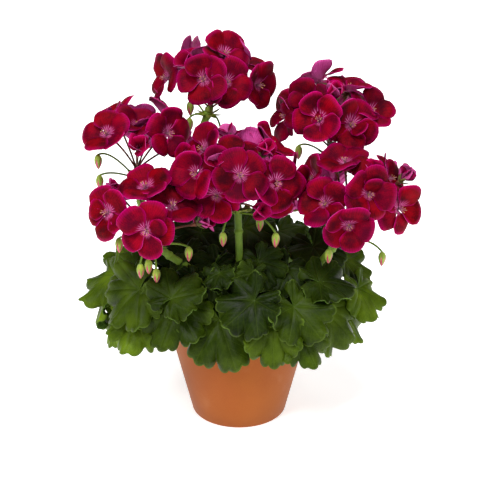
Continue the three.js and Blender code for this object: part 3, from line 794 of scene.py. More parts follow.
# an open ring is drawn up and in again by extrusion, from the foot's edge to the inner floor
def buildPot():
    p = clayPot

    def radiusAt(z):
        return p["baseRadius"] + (p["topRadius"] - p["baseRadius"]) * z / p["height"]

    rings = [(radiusAt(z), z) for z in p["outerRings"]]
    rings += [(radiusAt(z) - p["wall"], z) for z in p["innerRings"]]
    deselectAll()
    bpy.ops.mesh.primitive_circle_add(vertices=p["sides"], radius=rings[0][0] * mm, fill_type="NGON")
    pot = bpy.context.object
    pot.name = pot.data.name = "clay_pot"
    bpy.ops.object.mode_set(mode="EDIT")
    bpy.ops.mesh.select_all(action="SELECT")
    bpy.ops.mesh.flip_normals()  # the foot faces down
    bpy.ops.mesh.select_mode(type="EDGE")
    bpy.ops.mesh.region_to_loop()
    for (before, z0), (after, z1) in zip(rings, rings[1:]):
        bpy.ops.mesh.extrude_edges_move(TRANSFORM_OT_translate={"value": (0, 0, (z1 - z0) * mm)})
        share = after / before
        bpy.ops.transform.resize(value=(share, share, 1), center_override=(0, 0, z1 * mm))
    bpy.ops.mesh.edge_face_add()
    bpy.ops.mesh.select_all(action="SELECT")
    bpy.ops.mesh.normals_make_consistent(inside=False)
    bpy.ops.object.mode_set(mode="OBJECT")
    applyModifier(pot, "BEVEL", width=p["round"] * mm, segments=4, limit_method="ANGLE",
                  angle_limit=math.radians(40))
    makeActive(pot)
    bpy.ops.object.shade_smooth_by_angle(angle=math.radians(35))
    dress(pot, finishes["clay"])
    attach(pot, "root")
    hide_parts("pot")
    return pot


pottingSoil = {
    "top": 99,
    "mound": 4,
    "radius": 61.2,
    "footRadius": 39.4,
    "foot": 8.35,
    "crumbs": 0.66,
    "bands": (0.6, 0.9),  # where the mound ends on the ball it is made from, and where the floor starts
}


# a low mound with crumbs on it, closed by a tapering plug below
def buildSoilPiece():
    s = pottingSoil
    deselectAll()
    bpy.ops.mesh.primitive_uv_sphere_add(segments=96, ring_count=64, radius=1)
    soil = bpy.context.object
    soil.name = soil.data.name = "soil_mound"
    x, y, z = pointsOf(soil)
    around = np.arctan2(y, x)
    polar = np.arccos(np.clip(z, -1, 1)) / math.pi  # 0 on top, 1 below
    edge, floor = s["bands"]
    topShare = np.clip(polar / edge, 0, 1)
    downShare = np.clip((polar - edge) / (floor - edge), 0, 1)
    floorShare = np.clip((polar - floor) / (1 - floor), 0, 1)
    wall = mix(s["radius"], s["footRadius"], downShare)
    radius = np.where(polar <= edge, s["radius"] * topShare, wall)
    radius = np.where(polar > floor, s["footRadius"] * (1 - floorShare), radius)
    height = s["top"] + s["mound"] * (1 - topShare ** 2) - (s["top"] - s["foot"]) * downShare
    crumbs = np.sin(0.9 * radius + 5 * np.sin(3 * around)) * np.cos(13 * around + 0.5 * radius)
    crumbs += 0.7 * np.sin(23 * around - 0.8 * radius) * np.sin(1.7 * radius)
    height += np.where(polar < 0.55, s["crumbs"] * crumbs - 0.6, 0)
    fillMesh(soil, radius * np.cos(around), radius * np.sin(around), height)
    smooth(soil)
    dress(soil, finishes["soil"])
    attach(soil, "root")
    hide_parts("soil")
    return soil


buildPot()
buildSoilPiece()
print("pot and soil built")


# ---- keeping blades apart: the same rule as the solids, so that every leaf and floret agrees ----

settling = {
    "shares": (0.55, 1.0),  # where a blade is sampled on its way out
    "step": 30,
    "spacing": 1.0,
    "rounds": 3,
    "leafTilts": (0, 9, -9),
    "leafLifts": (0, 4, -4, 8, -8, 12),
    "leafCosts": (0.3, 0.13),  # for each mm of lift and each degree of tilt
    "leafReach": 95,
    "youngReach": 70,
    "floretTilts": (0, 12, -12, 24, -24),
    "floretLifts": (0, -3, 3, -6, 6),
    "floretCosts": (0.4, 0.1),
}

leafForm = {
    "lobes": 7,
    "lobeAngle": 48,
    "lobeCut": 0.17,
    "baseReach": 0.78,
    "funnel": 0.3,
    "saucer": 0.26,
    "droop": 0.14,
    "swell": 0.95,  # the margin's waves: three long ones, and one to a lobe
    "pleat": 0.75,
    "thickness": 0.55,
    # from here on, what the solids leave out, as shares of the leaf's size
    "teeth": 3,  # small rounded teeth to a lobe
    "toothDepth": 0.1,
    "notch": 0.05,  # a narrow cut between lobes
    "uneven": 0.03,
    "veinDepth": 0.016,
    "veinWidth": 0.045,
    "quilt": 0.8,
    "crimp": 0.038,
    "fold": (0.012, 0.085),  # from lobe to lobe, and over the whole leaf
    "columns": 168,
    "rows": 11,
}


def leafReach(degrees, size):
    f = leafForm
    rounded = f["baseReach"] + (1 - f["baseReach"]) * np.cos(np.radians(degrees))
    lobe = degrees / f["lobeAngle"]
    fromMiddle = 2 * np.abs(lobe - np.floor(lobe + 0.5))
    reach = size * rounded * (1 - f["lobeCut"] * fromMiddle ** 3)
    return np.where(np.abs(degrees) > f["lobes"] * f["lobeAngle"] / 2 + 1e-6, 0, reach)


def leafHeight(share, degrees, size, ruffle, seed):
    f = leafForm
    dish = f["funnel"] * share - f["saucer"] * share ** 2
    tip = f["droop"] * share ** 2 * np.maximum(0, np.cos(np.radians(degrees)))
    swell = f["swell"] * np.sin(np.radians(3 * degrees) + seed * 2.4)
    pleat = f["pleat"] * np.cos(np.radians(360 * degrees / f["lobeAngle"]))
    return size * (dish - tip + ruffle * share ** 2 * (swell + pleat))


floretForm = {"size": 24, "petals": 5, "cup": 3.2, "bowl": (3.4, 1.25), "twist": 1.3}


def floretReach(degrees):
    return np.full(np.shape(degrees), float(floretForm["size"]))


def floretHeight(share, degrees=0):
    steep, level = floretForm["bowl"]
    return steep * floretForm["cup"] * share ** 2 * (level - share)


def posedBlade(reach, height, joint, up, turn, cost):
    turned = laidOn(up, turn)
    local = [(0.0, 0.0, 0.0)]
    for share in settling["shares"]:
        for degrees in range(-165, 180, settling["step"]):
            out = float(reach(float(degrees))) * share
            if out > 0:
                a = math.radians(degrees)
                raised = float(height(share, float(degrees)))
                local.append((out * math.cos(a), out * math.sin(a), raised))
    return {"reach": reach, "height": height, "joint": joint, "up": up, "turn": turn, "cost": cost,
            "turned": turned, "samples": joint + np.array(local) @ turned.T}


# how much of a blade's samples lie on the lesser side of another blade
def passing(blade, local):
    x, y, z = local[..., 0], local[..., 1], local[..., 2]
    degrees = np.degrees(np.arctan2(y, x))
    with np.errstate(divide="ignore", invalid="ignore"):
        share = np.hypot(x, y) / blade["reach"](degrees)
    inside = share <= 1.05
    depth = z - blade["height"](np.where(inside, share, 0), degrees)
    above = np.where(inside, np.maximum(0, depth + settling["spacing"]), 0).sum(-1)
    below = np.where(inside, np.maximum(0, settling["spacing"] - depth), 0).sum(-1)
    return np.minimum(above, below)


def freest(poses, others, reach):
    joints = np.array([p["joint"] for p in poses])
    turned = np.array([p["turned"] for p in poses])
    samples = np.array([p["samples"] for p in poses])
    scores = np.array([p["cost"] for p in poses])
    for other in others:
        if np.linalg.norm(other["joint"] - poses[0]["joint"]) >= reach:
            continue
        otherLocal = np.einsum("psk,pkl->psl", other["samples"][None] - joints[:, None], turned)
        ownLocal = (samples - other["joint"]) @ other["turned"]
        scores = scores + passing(poses[0], otherLocal) + passing(other, ownLocal)
    return poses[int(np.argmin(scores))]


def settle(choices, reach):
    taken = [poses[0] for poses in choices]
    for _ in range(settling["rounds"]):
        for i, poses in enumerate(choices):
            taken[i] = freest(poses, taken[:i] + taken[i + 1:], reach)
    return taken


def leafPoses(seed, joint, towards, size, turn, ruffle):
    azimuth, elevation = towards

    def reach(degrees):
        return leafReach(degrees, size)

    def height(share, degrees):
        return leafHeight(share, degrees, size, ruffle, seed)

    poses = []
    liftCost, tiltCost = settling["leafCosts"]
    for tilt in settling["leafTilts"]:
        for lift in settling["leafLifts"]:
            moved = np.array(joint, float) + facing(azimuth, elevation) * lift
            up = facing(azimuth, elevation + tilt)
            cost = abs(lift) * liftCost + abs(tilt) * tiltCost
            poses.append(posedBlade(reach, height, moved, up, turn, cost))
    return poses


leafPlans = [(name, i, *leaf) for name, s in shoots.items() for i, leaf in enumerate(s["leaves"])]
settledLeaves = settle([leafPoses(*plan[1:]) for plan in leafPlans], settling["leafReach"])

youngForm = {
    "count": 7,
    "out": (10, 28),
    "up": (-12, 24),
    "size": (12, 20),
    "elevation": (30, 66),
    "ruffle": (0.08, 0.14),
}


# young leaves crowd round each shoot's tip, wherever the grown ones leave them room
def youngPlans():
    y = youngForm
    plans = []
    for name, shoot in shoots.items():
        tip = np.array(shoot["tip"], float)
        for k in range(y["count"]):
            azimuth = 360 / y["count"] * k + chance.uniform(-25, 25)
            joint = tip + facing(azimuth, 0) * chance.uniform(*y["out"])
            joint[2] += chance.uniform(*y["up"])
            towards = (azimuth, chance.uniform(*y["elevation"]))
            turn, size = chance.uniform(-40, 40), chance.uniform(*y["size"])
            plans.append((name, k, joint, towards, size, turn, chance.uniform(*y["ruffle"])))
    return plans


youngLeafPlans = youngPlans()
settledYoung = []
for plan in youngLeafPlans:
    others = settledLeaves + settledYoung
    settledYoung.append(freest(leafPoses(*plan[1:]), others, settling["youngReach"]))


# ---- leafy shoots ----

shootForm = {
    "footRadius": 4.6,
    "tipRadius": 3.4,
    "soilTop": 99,
    "depth": 30,
    "petiole": 1.4,
    "inset": 5,  # how far into the leaf a petiole runs
    "nodes": (0.62, 0.34),  # where petioles start along the shoot, and over what stretch
    "arch": 0.45,  # how far a petiole comes from behind its leaf
}


def shootCurve(name):
    s = shoots[name]
    tip = np.array(s["tip"], float)
    foot = np.array([*s["foot"], shootForm["soilTop"] - shootForm["depth"]], float)
    bend = mix(foot, tip, 0.25)
    bend[2] = shootForm["soilTop"] + 16
    return bentThrough(foot, bend, tip)


# one flat blade is kept as the pattern of all leaves, and each copy is drawn out to its own form
def buildLeaf(pattern, name, size, ruffle, seed):
    f = leafForm
    across, along = gridShares(pattern)
    half = f["lobes"] * f["lobeAngle"] / 2
    degrees = (across - 0.5) * 2 * half
    lobe = degrees / f["lobeAngle"]
    fromMiddle = lobe - np.floor(lobe + 0.5)
    wander = 0.06 * np.sin(seed * 1.7 + lobe * 1.3)
    teeth = np.sqrt(np.abs(np.sin(math.pi * (f["teeth"] * (lobe + 0.5) + wander * 3))))
    edge = 1 + f["toothDepth"] * (teeth - 0.7) * along ** 6
    notch = 1 - f["notch"] * np.abs(2 * fromMiddle) ** 7 * along ** 2
    uneven = 1 + f["uneven"] * np.sin(2.1 * lobe + seed) * along ** 2
    reach = leafReach(degrees, size) * edge * notch * uneven
    height = leafHeight(along, degrees, size, ruffle, seed)
    aside = along * np.sin(np.radians(np.abs(fromMiddle) * f["lobeAngle"]))
    groove = np.exp(-(aside / f["veinWidth"]) ** 2) * np.minimum(1, along * 3)
    quilt = np.sin(math.pi * np.minimum(1, np.abs(fromMiddle) * 2)) * along * (1 - along * 0.4)
    crimp = np.sin(np.radians(degrees * 7.5) + seed)
    crimp += 0.6 * np.sin(np.radians(degrees * 16.3) + 2 * seed)
    pleatFold, wholeFold = f["fold"]
    fold = pleatFold * np.cos(2 * math.pi * lobe) + wholeFold * np.sin(2.0 * lobe + 1.9 * seed)
    relief = f["veinDepth"] * (f["quilt"] * quilt - groove)
    height += size * (relief + f["crimp"] * crimp * along ** 4 + fold * along ** 3)
    # the pleats are pressed flat towards the middle, so that they ruffle the margin alone
    height += size * ruffle * f["pleat"] * np.cos(2 * math.pi * lobe) * (1.2 * along ** 5 - along ** 2)
    a = np.radians(degrees)
    leaf = copyOf(pattern, name)
    fillMesh(leaf, reach * along * np.cos(a), reach * along * np.sin(a), height)
    return leaf


# leaves are lighter round the outside and in the skirt over the pot, and darker inside under the blooms:
# partly the leaves' own tones and partly painted shade.
# For each: where that starts, the stretch in which it grows, and how far it goes; then a random spread of
# tone
leafToneAndShadeForm = {"outer": (62, 45, 0.5), "low": (147, 26, 0.42), "chance": (-0.08, 0.13)}


def leafToneAndShade(joint):
    start, stretch, outerShare = leafToneAndShadeForm["outer"]
    outer = np.clip((abs(joint[0]) - start) / stretch, 0, 1)
    top, depth, lowShare = leafToneAndShadeForm["low"]
    low = np.clip((top - joint[2]) / depth, 0, 1)
    return float(np.clip(outerShare * outer + lowShare * low + chance.uniform(*leafToneAndShadeForm["chance"]), 0, 1))


def buildShoots():
    f, stem = leafForm, shootForm
    patterns = {
        "grown": newGrid(f["columns"], f["rows"]),
        "young": newGrid(f["columns"] // 2, f["rows"] // 2),
    }
    sorts = {"grown": (leafPlans, settledLeaves), "young": (youngLeafPlans, settledYoung)}
    for name, shoot in shoots.items():
        curve = shootCurve(name)
        petioles, leaves = [], []
        for sort, (plans, poses) in sorts.items():
            own = [(plan, pose) for plan, pose in zip(plans, poses) if plan[0] == name]
            for (_, i, _, _, size, _, ruffle), pose in own:
                leaf = buildLeaf(patterns[sort], "leaf", size, ruffle, i)
                leaf.data.transform(matrixOf(pose["joint"], pose["turned"]))
                # each leaf's tint: painted shade by where it stands, with a random spread of tone
                setValue(leaf, "tint", leafToneAndShade(pose["joint"]))
                leaves.append(leaf)
                inset = np.array([stem["inset"], 0, 0.15 * stem["inset"]]) * min(1, size / 30)
                end = pose["joint"] + pose["turned"] @ inset
                node = pointAlong(curve, stem["nodes"][0] + stem["nodes"][1] * i / len(own))
                below = mix(end - pose["up"] * stem["arch"] * size, node, 0.3)
                radius = stem["petiole"] * (1 if sort == "grown" else 0.6)
                petioles.append((bentThrough(node, below, end), radius * 1.2, radius))
        blades = joinAll(leaves, f"leaves_{name}")
        mergeClose(blades)
        dress(blades, finishes["leafUnder"], finishes["leafUpper"])  # the sheets so far face down
        thicken(blades, f["thickness"], 1)
        smooth(blades)
        stemPiece = newStems(f"stem_{name}", [(curve, stem["footRadius"], stem["tipRadius"])], 5, 16)
        dress(stemPiece, finishes["shoot_stem"])
        petiolePiece = newStems(f"petioles_{name}", petioles, 3, 12)
        dress(petiolePiece, finishes["petiole"])
        for piece in (blades, stemPiece, petiolePiece):
            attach(piece, "root")
            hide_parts(f"leafy_shoot_{name}")
    for pattern in patterns.values():
        discard(pattern)


buildShoots()
print("leafy shoots built")


# ---- flower stalks ----

stalkForm = {
    "radius": 3.2,
    "collar": 4.4,
    "collarStart": 0.93,
    "clearance": 0.35,
    "seat": 3.8,  # the cone that carries the florets
    "nod": 24,
    "lean": 32,
    "turn": 16,
    "knuckle": (0.66, 0.7, 0.74),
    "bracts": {"length": 9, "width": 4, "hollow": 1.0, "underHub": 9, "atFoot": 5},
}


def stalkCurve(head):
    base = shootCurve(head["shoot"])
    away = unit(base[3] - base[2])
    start = base[3] + away * stalkForm["clearance"]
    hub, bow = np.array(head["hub"], float), np.array(head["bow"], float)
    reach = 0.35 * np.linalg.norm(start - hub)
    return [start, start + away * reach, bow, hub]


def hubCentre(head):
    curve = stalkCurve(head)
    away = unit(curve[3] - curve[2])
    return curve[3] + away * (stalkForm["clearance"] + stalkForm["seat"]), away


budForm = {"length": 14, "radius": 3.7, "ridge": 0.07, "thread": 0.9}


# a long drop with five ridges, its root on top; V runs from the root down to the tip
def buildBudPattern():
    deselectAll()
    bpy.ops.mesh.primitive_uv_sphere_add(segments=20, ring_count=12, radius=1)
    bud = bpy.context.object
    x, y, z = pointsOf(bud)
    around = np.arctan2(y, x)
    share = np.arccos(np.clip(z, -1, 1)) / math.pi
    body = np.sin(math.pi * share ** 0.85) ** 0.75
    ridges = 1 + budForm["ridge"] * np.cos(5 * around)
    radius = budForm["radius"] * body * (1 - 0.25 * share) * ridges
    fillMesh(bud, radius * np.cos(around), radius * np.sin(around), -budForm["length"] * share)
    smooth(bud)
    return bud


# a pointed sheet that lies along +X with its back hollowed, for sepals and bracts
def buildSepalPattern(length, width, hollow):
    sepal = newGrid(4, 6)
    across, along = gridShares(sepal)
    side = (across - 0.5) * 2
    half = width / 2 * np.sin(math.pi * np.clip(along * 0.86 + 0.14, 0, 1)) ** 0.8
    height = hollow * (side ** 2 * half / width * 2 - np.sin(math.pi * along))
    fillMesh(sepal, along * length, side * half, height)
    mergeClose(sepal, 0.00002)
    thicken(sepal, 0.35)
    smooth(sepal)
    return sepal


# turned so that +X points the given way
def pointing(place, towards, roll=0.0):
    away = Vector([float(c) for c in towards])
    return (Matrix.Translation(metres(place))
            @ away.to_track_quat("X", "Z").to_matrix().to_4x4() @ Matrix.Rotation(roll, 4, "X"))


# the stalk itself, its collar under the hub, and the knuckle where small leaves once grew
def stalkParts(name, curve, hub):
    radius = stalkForm["radius"]
    main = newStems(f"stalk_{name}", [(curve, radius, radius)], 6, 28)
    top = pointAlong(curve, stalkForm["collarStart"])
    collarPath = bentThrough(top, mix(top, hub, 0.5), hub)
    collar = newStems("collar", [(collarPath, radius * 0.9, stalkForm["collar"])], 6, 6)
    low, middle, high = [pointAlong(curve, share) for share in stalkForm["knuckle"]]
    swelling = [(bentThrough(low, mix(low, middle, 0.5), middle), radius * 0.95, radius * 1.28),
                (bentThrough(middle, mix(middle, high, 0.5), high), radius * 1.28, radius * 0.95)]
    knuckle = newStems("knuckle", swelling, 6, 6)
    for part in (main, collar, knuckle):
        dress(part, finishes["flower_stalk"])
    return [main, collar, knuckle]


# each bud hangs from a thread that arches up and out from the hub
def hangingBuds(pattern, head, hub):
    threads, bodies = [], []
    for azimuth, out, drop in head["buds"]:
        tip = hub + facing(azimuth, 0) * out
        tip[2] = hub[2] - drop
        budTop = tip + np.array([0, 0, budForm["length"]])
        over = mix(hub, budTop, 0.7)
        over[2] = max(hub[2], budTop[2]) + 3
        start = hub + facing(azimuth, 0) * 2
        start[2] = hub[2] - 4
        end = budTop - np.array([0, 0, budForm["thread"]])
        threads.append((bentThrough(start, over, end), 0.8, 0.9))
        body = copyOf(pattern, "bud", Matrix.Translation(metres(budTop)))
        dress(body, finishes["budSkin"])
        bodies.append(body)
    threadPiece = newStems("threads", threads, 3, 12)
    dress(threadPiece, finishes["flower_stalk"])
    return [threadPiece, *bodies]


# a frill of bracts under the hub, and a few more where the stalk leaves its shoot
def bractFrill(pattern, curve, hub):
    b = stalkForm["bracts"]
    parts = []
    for k in range(b["underHub"]):
        azimuth = k * 360 / b["underHub"] + chance.uniform(-12, 12)
        towards = facing(azimuth, chance.uniform(-30, 30))
        place = hub + facing(azimuth, 0) * 3.2 + np.array([0, 0, -1.5])
        matrix = pointing(place, towards, chance.uniform(-0.4, 0.4))
        parts.append(copyOf(pattern, "bract", matrix))
    for k in range(b["atFoot"]):
        towards = facing(k * 360 / b["atFoot"] + chance.uniform(-15, 15), chance.uniform(5, 45))
        place = curve[0] + towards * stalkForm["radius"] * 0.6
        parts.append(copyOf(pattern, "bract", pointing(place, towards) @ Matrix.Scale(1.2, 4)))
    return parts


def buildStalks():
    b = stalkForm["bracts"]
    budPattern = buildBudPattern()
    bractPattern = buildSepalPattern(b["length"], b["width"], b["hollow"])
    dress(bractPattern, finishes["bract"])
    for name, head in heads.items():
        curve = stalkCurve(head)
        hub = np.array(head["hub"], float)
        parts = stalkParts(name, curve, hub)
        parts += hangingBuds(budPattern, head, hub)
        parts += bractFrill(bractPattern, curve, hub)
        piece = joinAll(parts, f"stalk_{name}")
        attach(piece, "root")
        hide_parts(f"flower_stalk_{name}")
    discard(budPattern)
    discard(bractPattern)


buildStalks()
print("flower stalks built")


# ---- blooms ----

petalForm = {
    "columns": 8,
    "rows": 7,
    "halfAngle": 48,  # how far a petal spreads at its widest
    "narrow": 0.2,  # how much less it spreads at its tip
    "fullness": (1.05, 0.1, 0.14),  # its length in the middle, and what the sides and corners lose
    "dent": 0.03,
    "wave": (1.3, 0.8),
    "thickness": 0.4,
    "variants": 6,
    "semiDouble": 0.4,  # the share of florets with one petal more
    "open": (-4, 12),  # how far a floret's petals are raised in degrees, and each petal beyond that
    "lift": (-12, 22),
    "rolled": 13,
    "upper": (4, 1.0),  # for each sort of petal, how much it's raised, and its size
    "lower": (0, 0.97),
    "inner": (22, 0.72),
    "crown": (1.4, -1.2, 2.2, 0.2, 1.8, -0.4),  # how far the middle stands above the sides
    "roll": (2.2, -0.8, 3.2, 0.6, 1.4, 2.6),  # how far the margin rolls back
}


def floretPoses(head, i, azimuth, elevation, length):
    hub, _ = hubCentre(head)
    turn = stalkForm["turn"] * math.sin(5 * i + head["hub"][0])
    sideways = azimuth - stalkForm["lean"] * math.sin(math.radians(azimuth))
    upwards = elevation - stalkForm["nod"] * math.cos(math.radians(elevation))
    poses = []
    liftCost, tiltCost = settling["floretCosts"]
    for tilt in settling["floretTilts"]:
        for lift in settling["floretLifts"]:
            joint = hub + facing(azimuth, elevation) * (length + lift)
            cost = abs(lift) * liftCost + abs(tilt) * tiltCost
            up = facing(sideways, upwards + tilt)
            poses.append(posedBlade(floretReach, floretHeight, joint, up, turn, cost))
    return poses


floretPlans = [(name, i, *floret) for name, h in heads.items() for i, floret in enumerate(h["florets"])]
settledFlorets = settle(
    [floretPoses(heads[name], i, *rest) for name, i, *rest in floretPlans], 2 * floretForm["size"] + 2)


# florets that are still opening: small cups between the others, which show the pale backs of their
# petals, each with its pedicel's azimuth, elevation and length
openingForm = {"size": 0.66, "raised": (46, 66), "tint": 1.0, "turn": 20.0, "sepalsRaised": 60}
opening = {
    "back_centre": [(-50, 60, 46), (160, 65, 46)],
    "left_upper": [(10, 42, 42), (110, 26, 42)],
    "front_centre": [(-160, 65, 54), (50, 62, 54), (-30, 56, 52), (26, 12, 36)],
    "left_lower": [(150, 65, 44), (-100, 55, 44), (84, 20, 42)],
    "right_upper": [(0, 70, 52), (160, 60, 50)],
    "right_lower": [(-160, 62, 54), (66, 70, 54), (-90, 26, 46), (92, 46, 62)],
}


def openingFlorets(name):
    hub, _ = hubCentre(heads[name])
    florets = []
    for azimuth, elevation, length in opening[name]:
        up = facing(azimuth, elevation)
        pose = {"joint": hub + up * length, "up": up, "turned": laidOn(up, openingForm["turn"])}
        florets.append(((name, 0, azimuth, elevation, length), pose, False))
    return florets


# a broad petal that narrows to its claw, with a rolled margin of its own
def buildPetalPattern(variant):
    f = petalForm
    petal = newGrid(f["columns"], f["rows"])
    across, along = gridShares(petal)
    side = (across - 0.5) * 2
    share = 0.05 + 0.95 * along ** 0.9
    spread = f["halfAngle"] * (0.5 + 0.5 * np.sin(math.pi / 2 * np.clip(along / 0.62, 0, 1)))
    spread = spread * (1 - f["narrow"] * np.clip((along - 0.7) / 0.3, 0, 1) ** 2)
    phase = variant * 1.9
    dent = f["dent"] * np.cos(2.3 * math.pi * side / 2 + phase)
    whole, sides, corners = f["fullness"]
    outline = whole - sides * side ** 2 - corners * side ** 6 + dent * along ** 2
    radius = floretForm["size"] * outline * share
    angle = np.radians(side * spread + 3 * math.sin(phase))
    lift = floretHeight(share) + floretForm["twist"] * side * np.clip((share - 0.25) / 0.3, 0, 1)
    longWave, shortWave = f["wave"]
    wave = longWave * np.sin(2.6 * side + phase) + shortWave * np.cos(5.2 * side - 2 * phase)
    lift += along ** 2 * wave
    lift += f["crown"][variant] * (1 - side ** 2) * np.sin(math.pi * along)
    lift -= f["roll"][variant] * np.clip((along - 0.55) / 0.45, 0, 1) ** 2
    fillMesh(petal, radius * np.cos(angle), radius * np.sin(angle), lift)
    dress(petal, finishes["petalUnder"], finishes["petalUpper"])  # the sheet so far faces down
    thicken(petal, f["thickness"], 1)
    smooth(petal)
    petal.name = f"petalPattern{variant}"
    return petal


stamenForm = {"count": 6, "height": 6.5, "lean": 2.2, "anther": 0.6}


# filaments that lean apart, each with its anther
def buildStamenPattern():
    f = stamenForm
    paths, tips = [], []
    for k in range(f["count"]):
        around = math.radians(360 / f["count"] * k + 11 * math.sin(2.0 * k))
        lean = f["lean"] + 0.7 * math.sin(3.1 * k)
        tip = np.array([lean * math.cos(around), lean * math.sin(around), f["height"] + math.sin(1.7 * k)])
        foot = np.array([0.5 * math.cos(around), 0.5 * math.sin(around), 0.0])
        paths.append((bentThrough(foot, np.array([foot[0], foot[1], 4.0]), tip), 0.34, 0.24))
        tips.append(tip)
    filaments = newStems("filaments", paths, 1, 4)
    dress(filaments, finishes["filament"])
    parts = [filaments]
    for tip in tips:
        deselectAll()
        bpy.ops.mesh.primitive_ico_sphere_add(subdivisions=1, radius=f["anther"] * mm, location=metres(tip))
        bpy.ops.object.transform_apply(location=True)
        anther = bpy.context.object
        dress(anther, finishes["anther"])
        parts.append(anther)
    cluster = joinAll(parts, "stamenPattern")
    smooth(cluster)
    return cluster


# five petals round the claw's place, and one more in some grown florets
def floretPetals(patterns, place, grown):
    f = petalForm
    count = floretForm["petals"]
    spread = chance.uniform(*f["open"]) if grown else chance.uniform(*openingForm["raised"])
    whole = 1.0 if grown else openingForm["size"]
    deep = float(chance.uniform() ** 2)
    petals = []
    for k in range(count + int(grown and chance.uniform() < f["semiDouble"])):
        sort = "inner" if k >= count else "upper" if k in (2, 3) else "lower"
        lift, size = f[sort]
        around = chance.uniform(0, 360) if sort == "inner" else 360 / count * k + chance.uniform(-3, 3)
        raised = spread + lift + chance.uniform(*f["lift"])
        matrix = (place @ Matrix.Rotation(math.radians(around), 4, "Z")
                  @ Matrix.Rotation(-math.radians(raised), 4, "Y")
                  @ Matrix.Rotation(math.radians(chance.uniform(-f["rolled"], f["rolled"])), 4, "X")
                  @ Matrix.Scale(whole * size * chance.uniform(0.9, 1.03), 4))
        petal = copyOf(patterns[int(chance.integers(f["variants"]))], "petal", matrix)
        setValue(petal, "tint", float(chance.uniform(0, 0.6)) if grown else openingForm["tint"])
        setValue(petal, "eye", 1.0 if sort == "upper" else 0.45)
        setValue(petal, "deep", deep)
        petals.append(petal)
    return petals


sepalForm = {"count": 5, "length": 9, "width": 3.2, "hollow": 0.8, "below": 1.2, "raised": (4, 24)}
pedicelForm = {"radius": 0.85, "root": 2.28, "neck": 3.6, "calyx": 2.3}


def floretSepals(pattern, place, grown):
    f = sepalForm
    sepals = []
    for k in range(f["count"]):
        raised = chance.uniform(*f["raised"]) - (0 if grown else openingForm["sepalsRaised"])
        matrix = (place @ Matrix.Translation((0, 0, -f["below"] * mm))
                  @ Matrix.Rotation(math.radians(360 / f["count"] * k + 36), 4, "Z")
                  @ Matrix.Rotation(math.radians(raised), 4, "Y"))
        sepals.append(copyOf(pattern, "sepal", matrix))
    return sepals


# a pedicel bows a little upwards on its way, and swells into the calyx
def floretThreads(hub, pose, azimuth, elevation, length):
    f = pedicelForm
    neck = pose["joint"] - pose["up"] * f["neck"]
    root = hub + facing(azimuth, elevation) * f["root"]
    bend = hub + facing(azimuth, min(88, elevation + 8)) * length * 0.55
    calyxFoot = neck - pose["up"] * 2.4
    calyxTop = pose["joint"] - pose["up"] * 0.6
    return [(bentThrough(root, bend, neck), f["radius"], f["radius"] + 0.1),
            (bentThrough(calyxFoot, neck, calyxTop), f["radius"] + 0.1, f["calyx"])]


def buildBlooms():
    petalPatterns = [buildPetalPattern(k) for k in range(petalForm["variants"])]
    stamenPattern = buildStamenPattern()
    sepalPattern = buildSepalPattern(sepalForm["length"], sepalForm["width"], sepalForm["hollow"])
    dress(sepalPattern, finishes["sepal"])
    for name, head in heads.items():
        hub, away = hubCentre(head)
        seat = hub - away * stalkForm["seat"]
        seatPath = bentThrough(seat, hub, hub + away * 2)
        seatPiece = newStems("seat", [(seatPath, stalkForm["seat"], 2.3)], 4, 6)
        dress(seatPiece, finishes["bract"])
        threads, petals, stamens, calyces = [], [], [], []
        florets = [(plan, pose, True) for plan, pose in zip(floretPlans, settledFlorets) if plan[0] == name]
        for plan, pose, grown in florets + openingFlorets(name):
            place = matrixOf(pose["joint"], pose["turned"])
            petals += floretPetals(petalPatterns, place, grown)
            if grown:
                stamens.append(copyOf(stamenPattern, "stamens", place))
            calyces += floretSepals(sepalPattern, place, grown)
            threads += floretThreads(hub, pose, *plan[2:])
        petalPiece = joinAll(petals, f"petals_{name}")
        stamenPiece = joinAll(stamens, f"stamens_{name}")
        threadPiece = newStems("threads", threads, 3, 10)
        dress(threadPiece, finishes["pedicel"])
        pedicelPiece = joinAll([threadPiece, seatPiece, *calyces], f"pedicels_{name}")
        for piece in (petalPiece, stamenPiece, pedicelPiece):
            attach(piece, "root")
            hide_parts(f"bloom_{name}")
    for pattern in (*petalPatterns, stamenPattern, sepalPattern):
        discard(pattern)


buildBlooms()
print("blooms built")


# ---- stage, light and camera ----

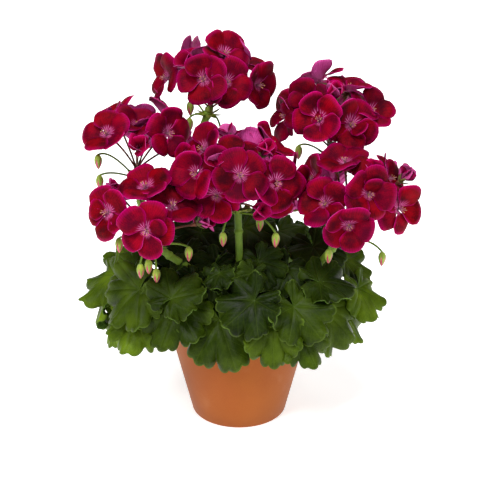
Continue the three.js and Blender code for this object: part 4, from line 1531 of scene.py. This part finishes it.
studio = {
    "floor": colour(246, 246, 246),
    "floorSize": 36,
    "glow": 0.58,  # the floor is a lit white sheet
    "ambient": 0.1,
    "backdrop": 0.9,
    "camera": (0, -0.95, 0.55),
    "pitch": 68.25,
    "lens": 85.1,
    "sensor": 36,
    "shift": (1 / 480, -2 / 480),
    # strength, how wide the lamp looks in degrees, and the azimuth and elevation it shines from
    "suns": {
        "leftBox": (1.7, 16, (-40, 42)),
        "rightBox": (1.0, 30, (46, 36)),
        "overhead": (2.5, 18, (-6, 70)),
        "backLight": (0.6, 40, (170, 52)),
    },
}


def buildFloor():
    deselectAll()
    bpy.ops.mesh.primitive_plane_add(size=studio["floorSize"])
    floor = bpy.context.object
    floor.name = "floor"
    material, tree, shader = newMaterial("floor", roughness=0.9, specular=0.1)
    shader.inputs["Base Color"].default_value = studio["floor"]
    shader.inputs["Emission Color"].default_value = (1, 1, 1, 1)
    shader.inputs["Emission Strength"].default_value = studio["glow"]
    dress(floor, material)


def addSun(name, strength, width, place):
    light = bpy.data.lights.new(name, "SUN")
    light.energy = strength
    light.angle = math.radians(width)
    lamp = bpy.data.objects.new(name, light)
    towards = Vector([float(c) for c in facing(*place)])
    lamp.rotation_euler = towards.to_track_quat("Z", "Y").to_euler()
    bpy.context.collection.objects.link(lamp)


# the backdrop is seen as white, and lights the plant by the ambient share alone
def buildBackdrop():
    world = bpy.data.worlds.new("studio")
    bpy.context.scene.world = world
    world.use_nodes = True
    tree = world.node_tree
    background = tree.nodes["Background"]
    background.inputs["Color"].default_value = (1, 1, 1, 1)
    seen = tree.nodes.new("ShaderNodeLightPath").outputs["Is Camera Ray"]
    strength = maths(tree, "ADD", maths(tree, "MULTIPLY", seen, studio["backdrop"]), studio["ambient"])
    tree.links.new(strength, background.inputs["Strength"])


def addCamera():
    lens = bpy.data.cameras.new("camera")
    lens.sensor_width = studio["sensor"]
    lens.lens = studio["lens"]
    lens.shift_x, lens.shift_y = studio["shift"]
    lens.clip_end = 50
    camera = bpy.data.objects.new("camera", lens)
    camera.location = studio["camera"]
    camera.rotation_euler = (math.radians(studio["pitch"]), 0, 0)
    bpy.context.collection.objects.link(camera)
    bpy.context.scene.camera = camera


buildFloor()
buildBackdrop()
for lampName, lamp in studio["suns"].items():
    addSun(lampName, *lamp)
addCamera()
bpy.context.scene.view_settings.view_transform = "Standard"
print("stage, light and camera placed")
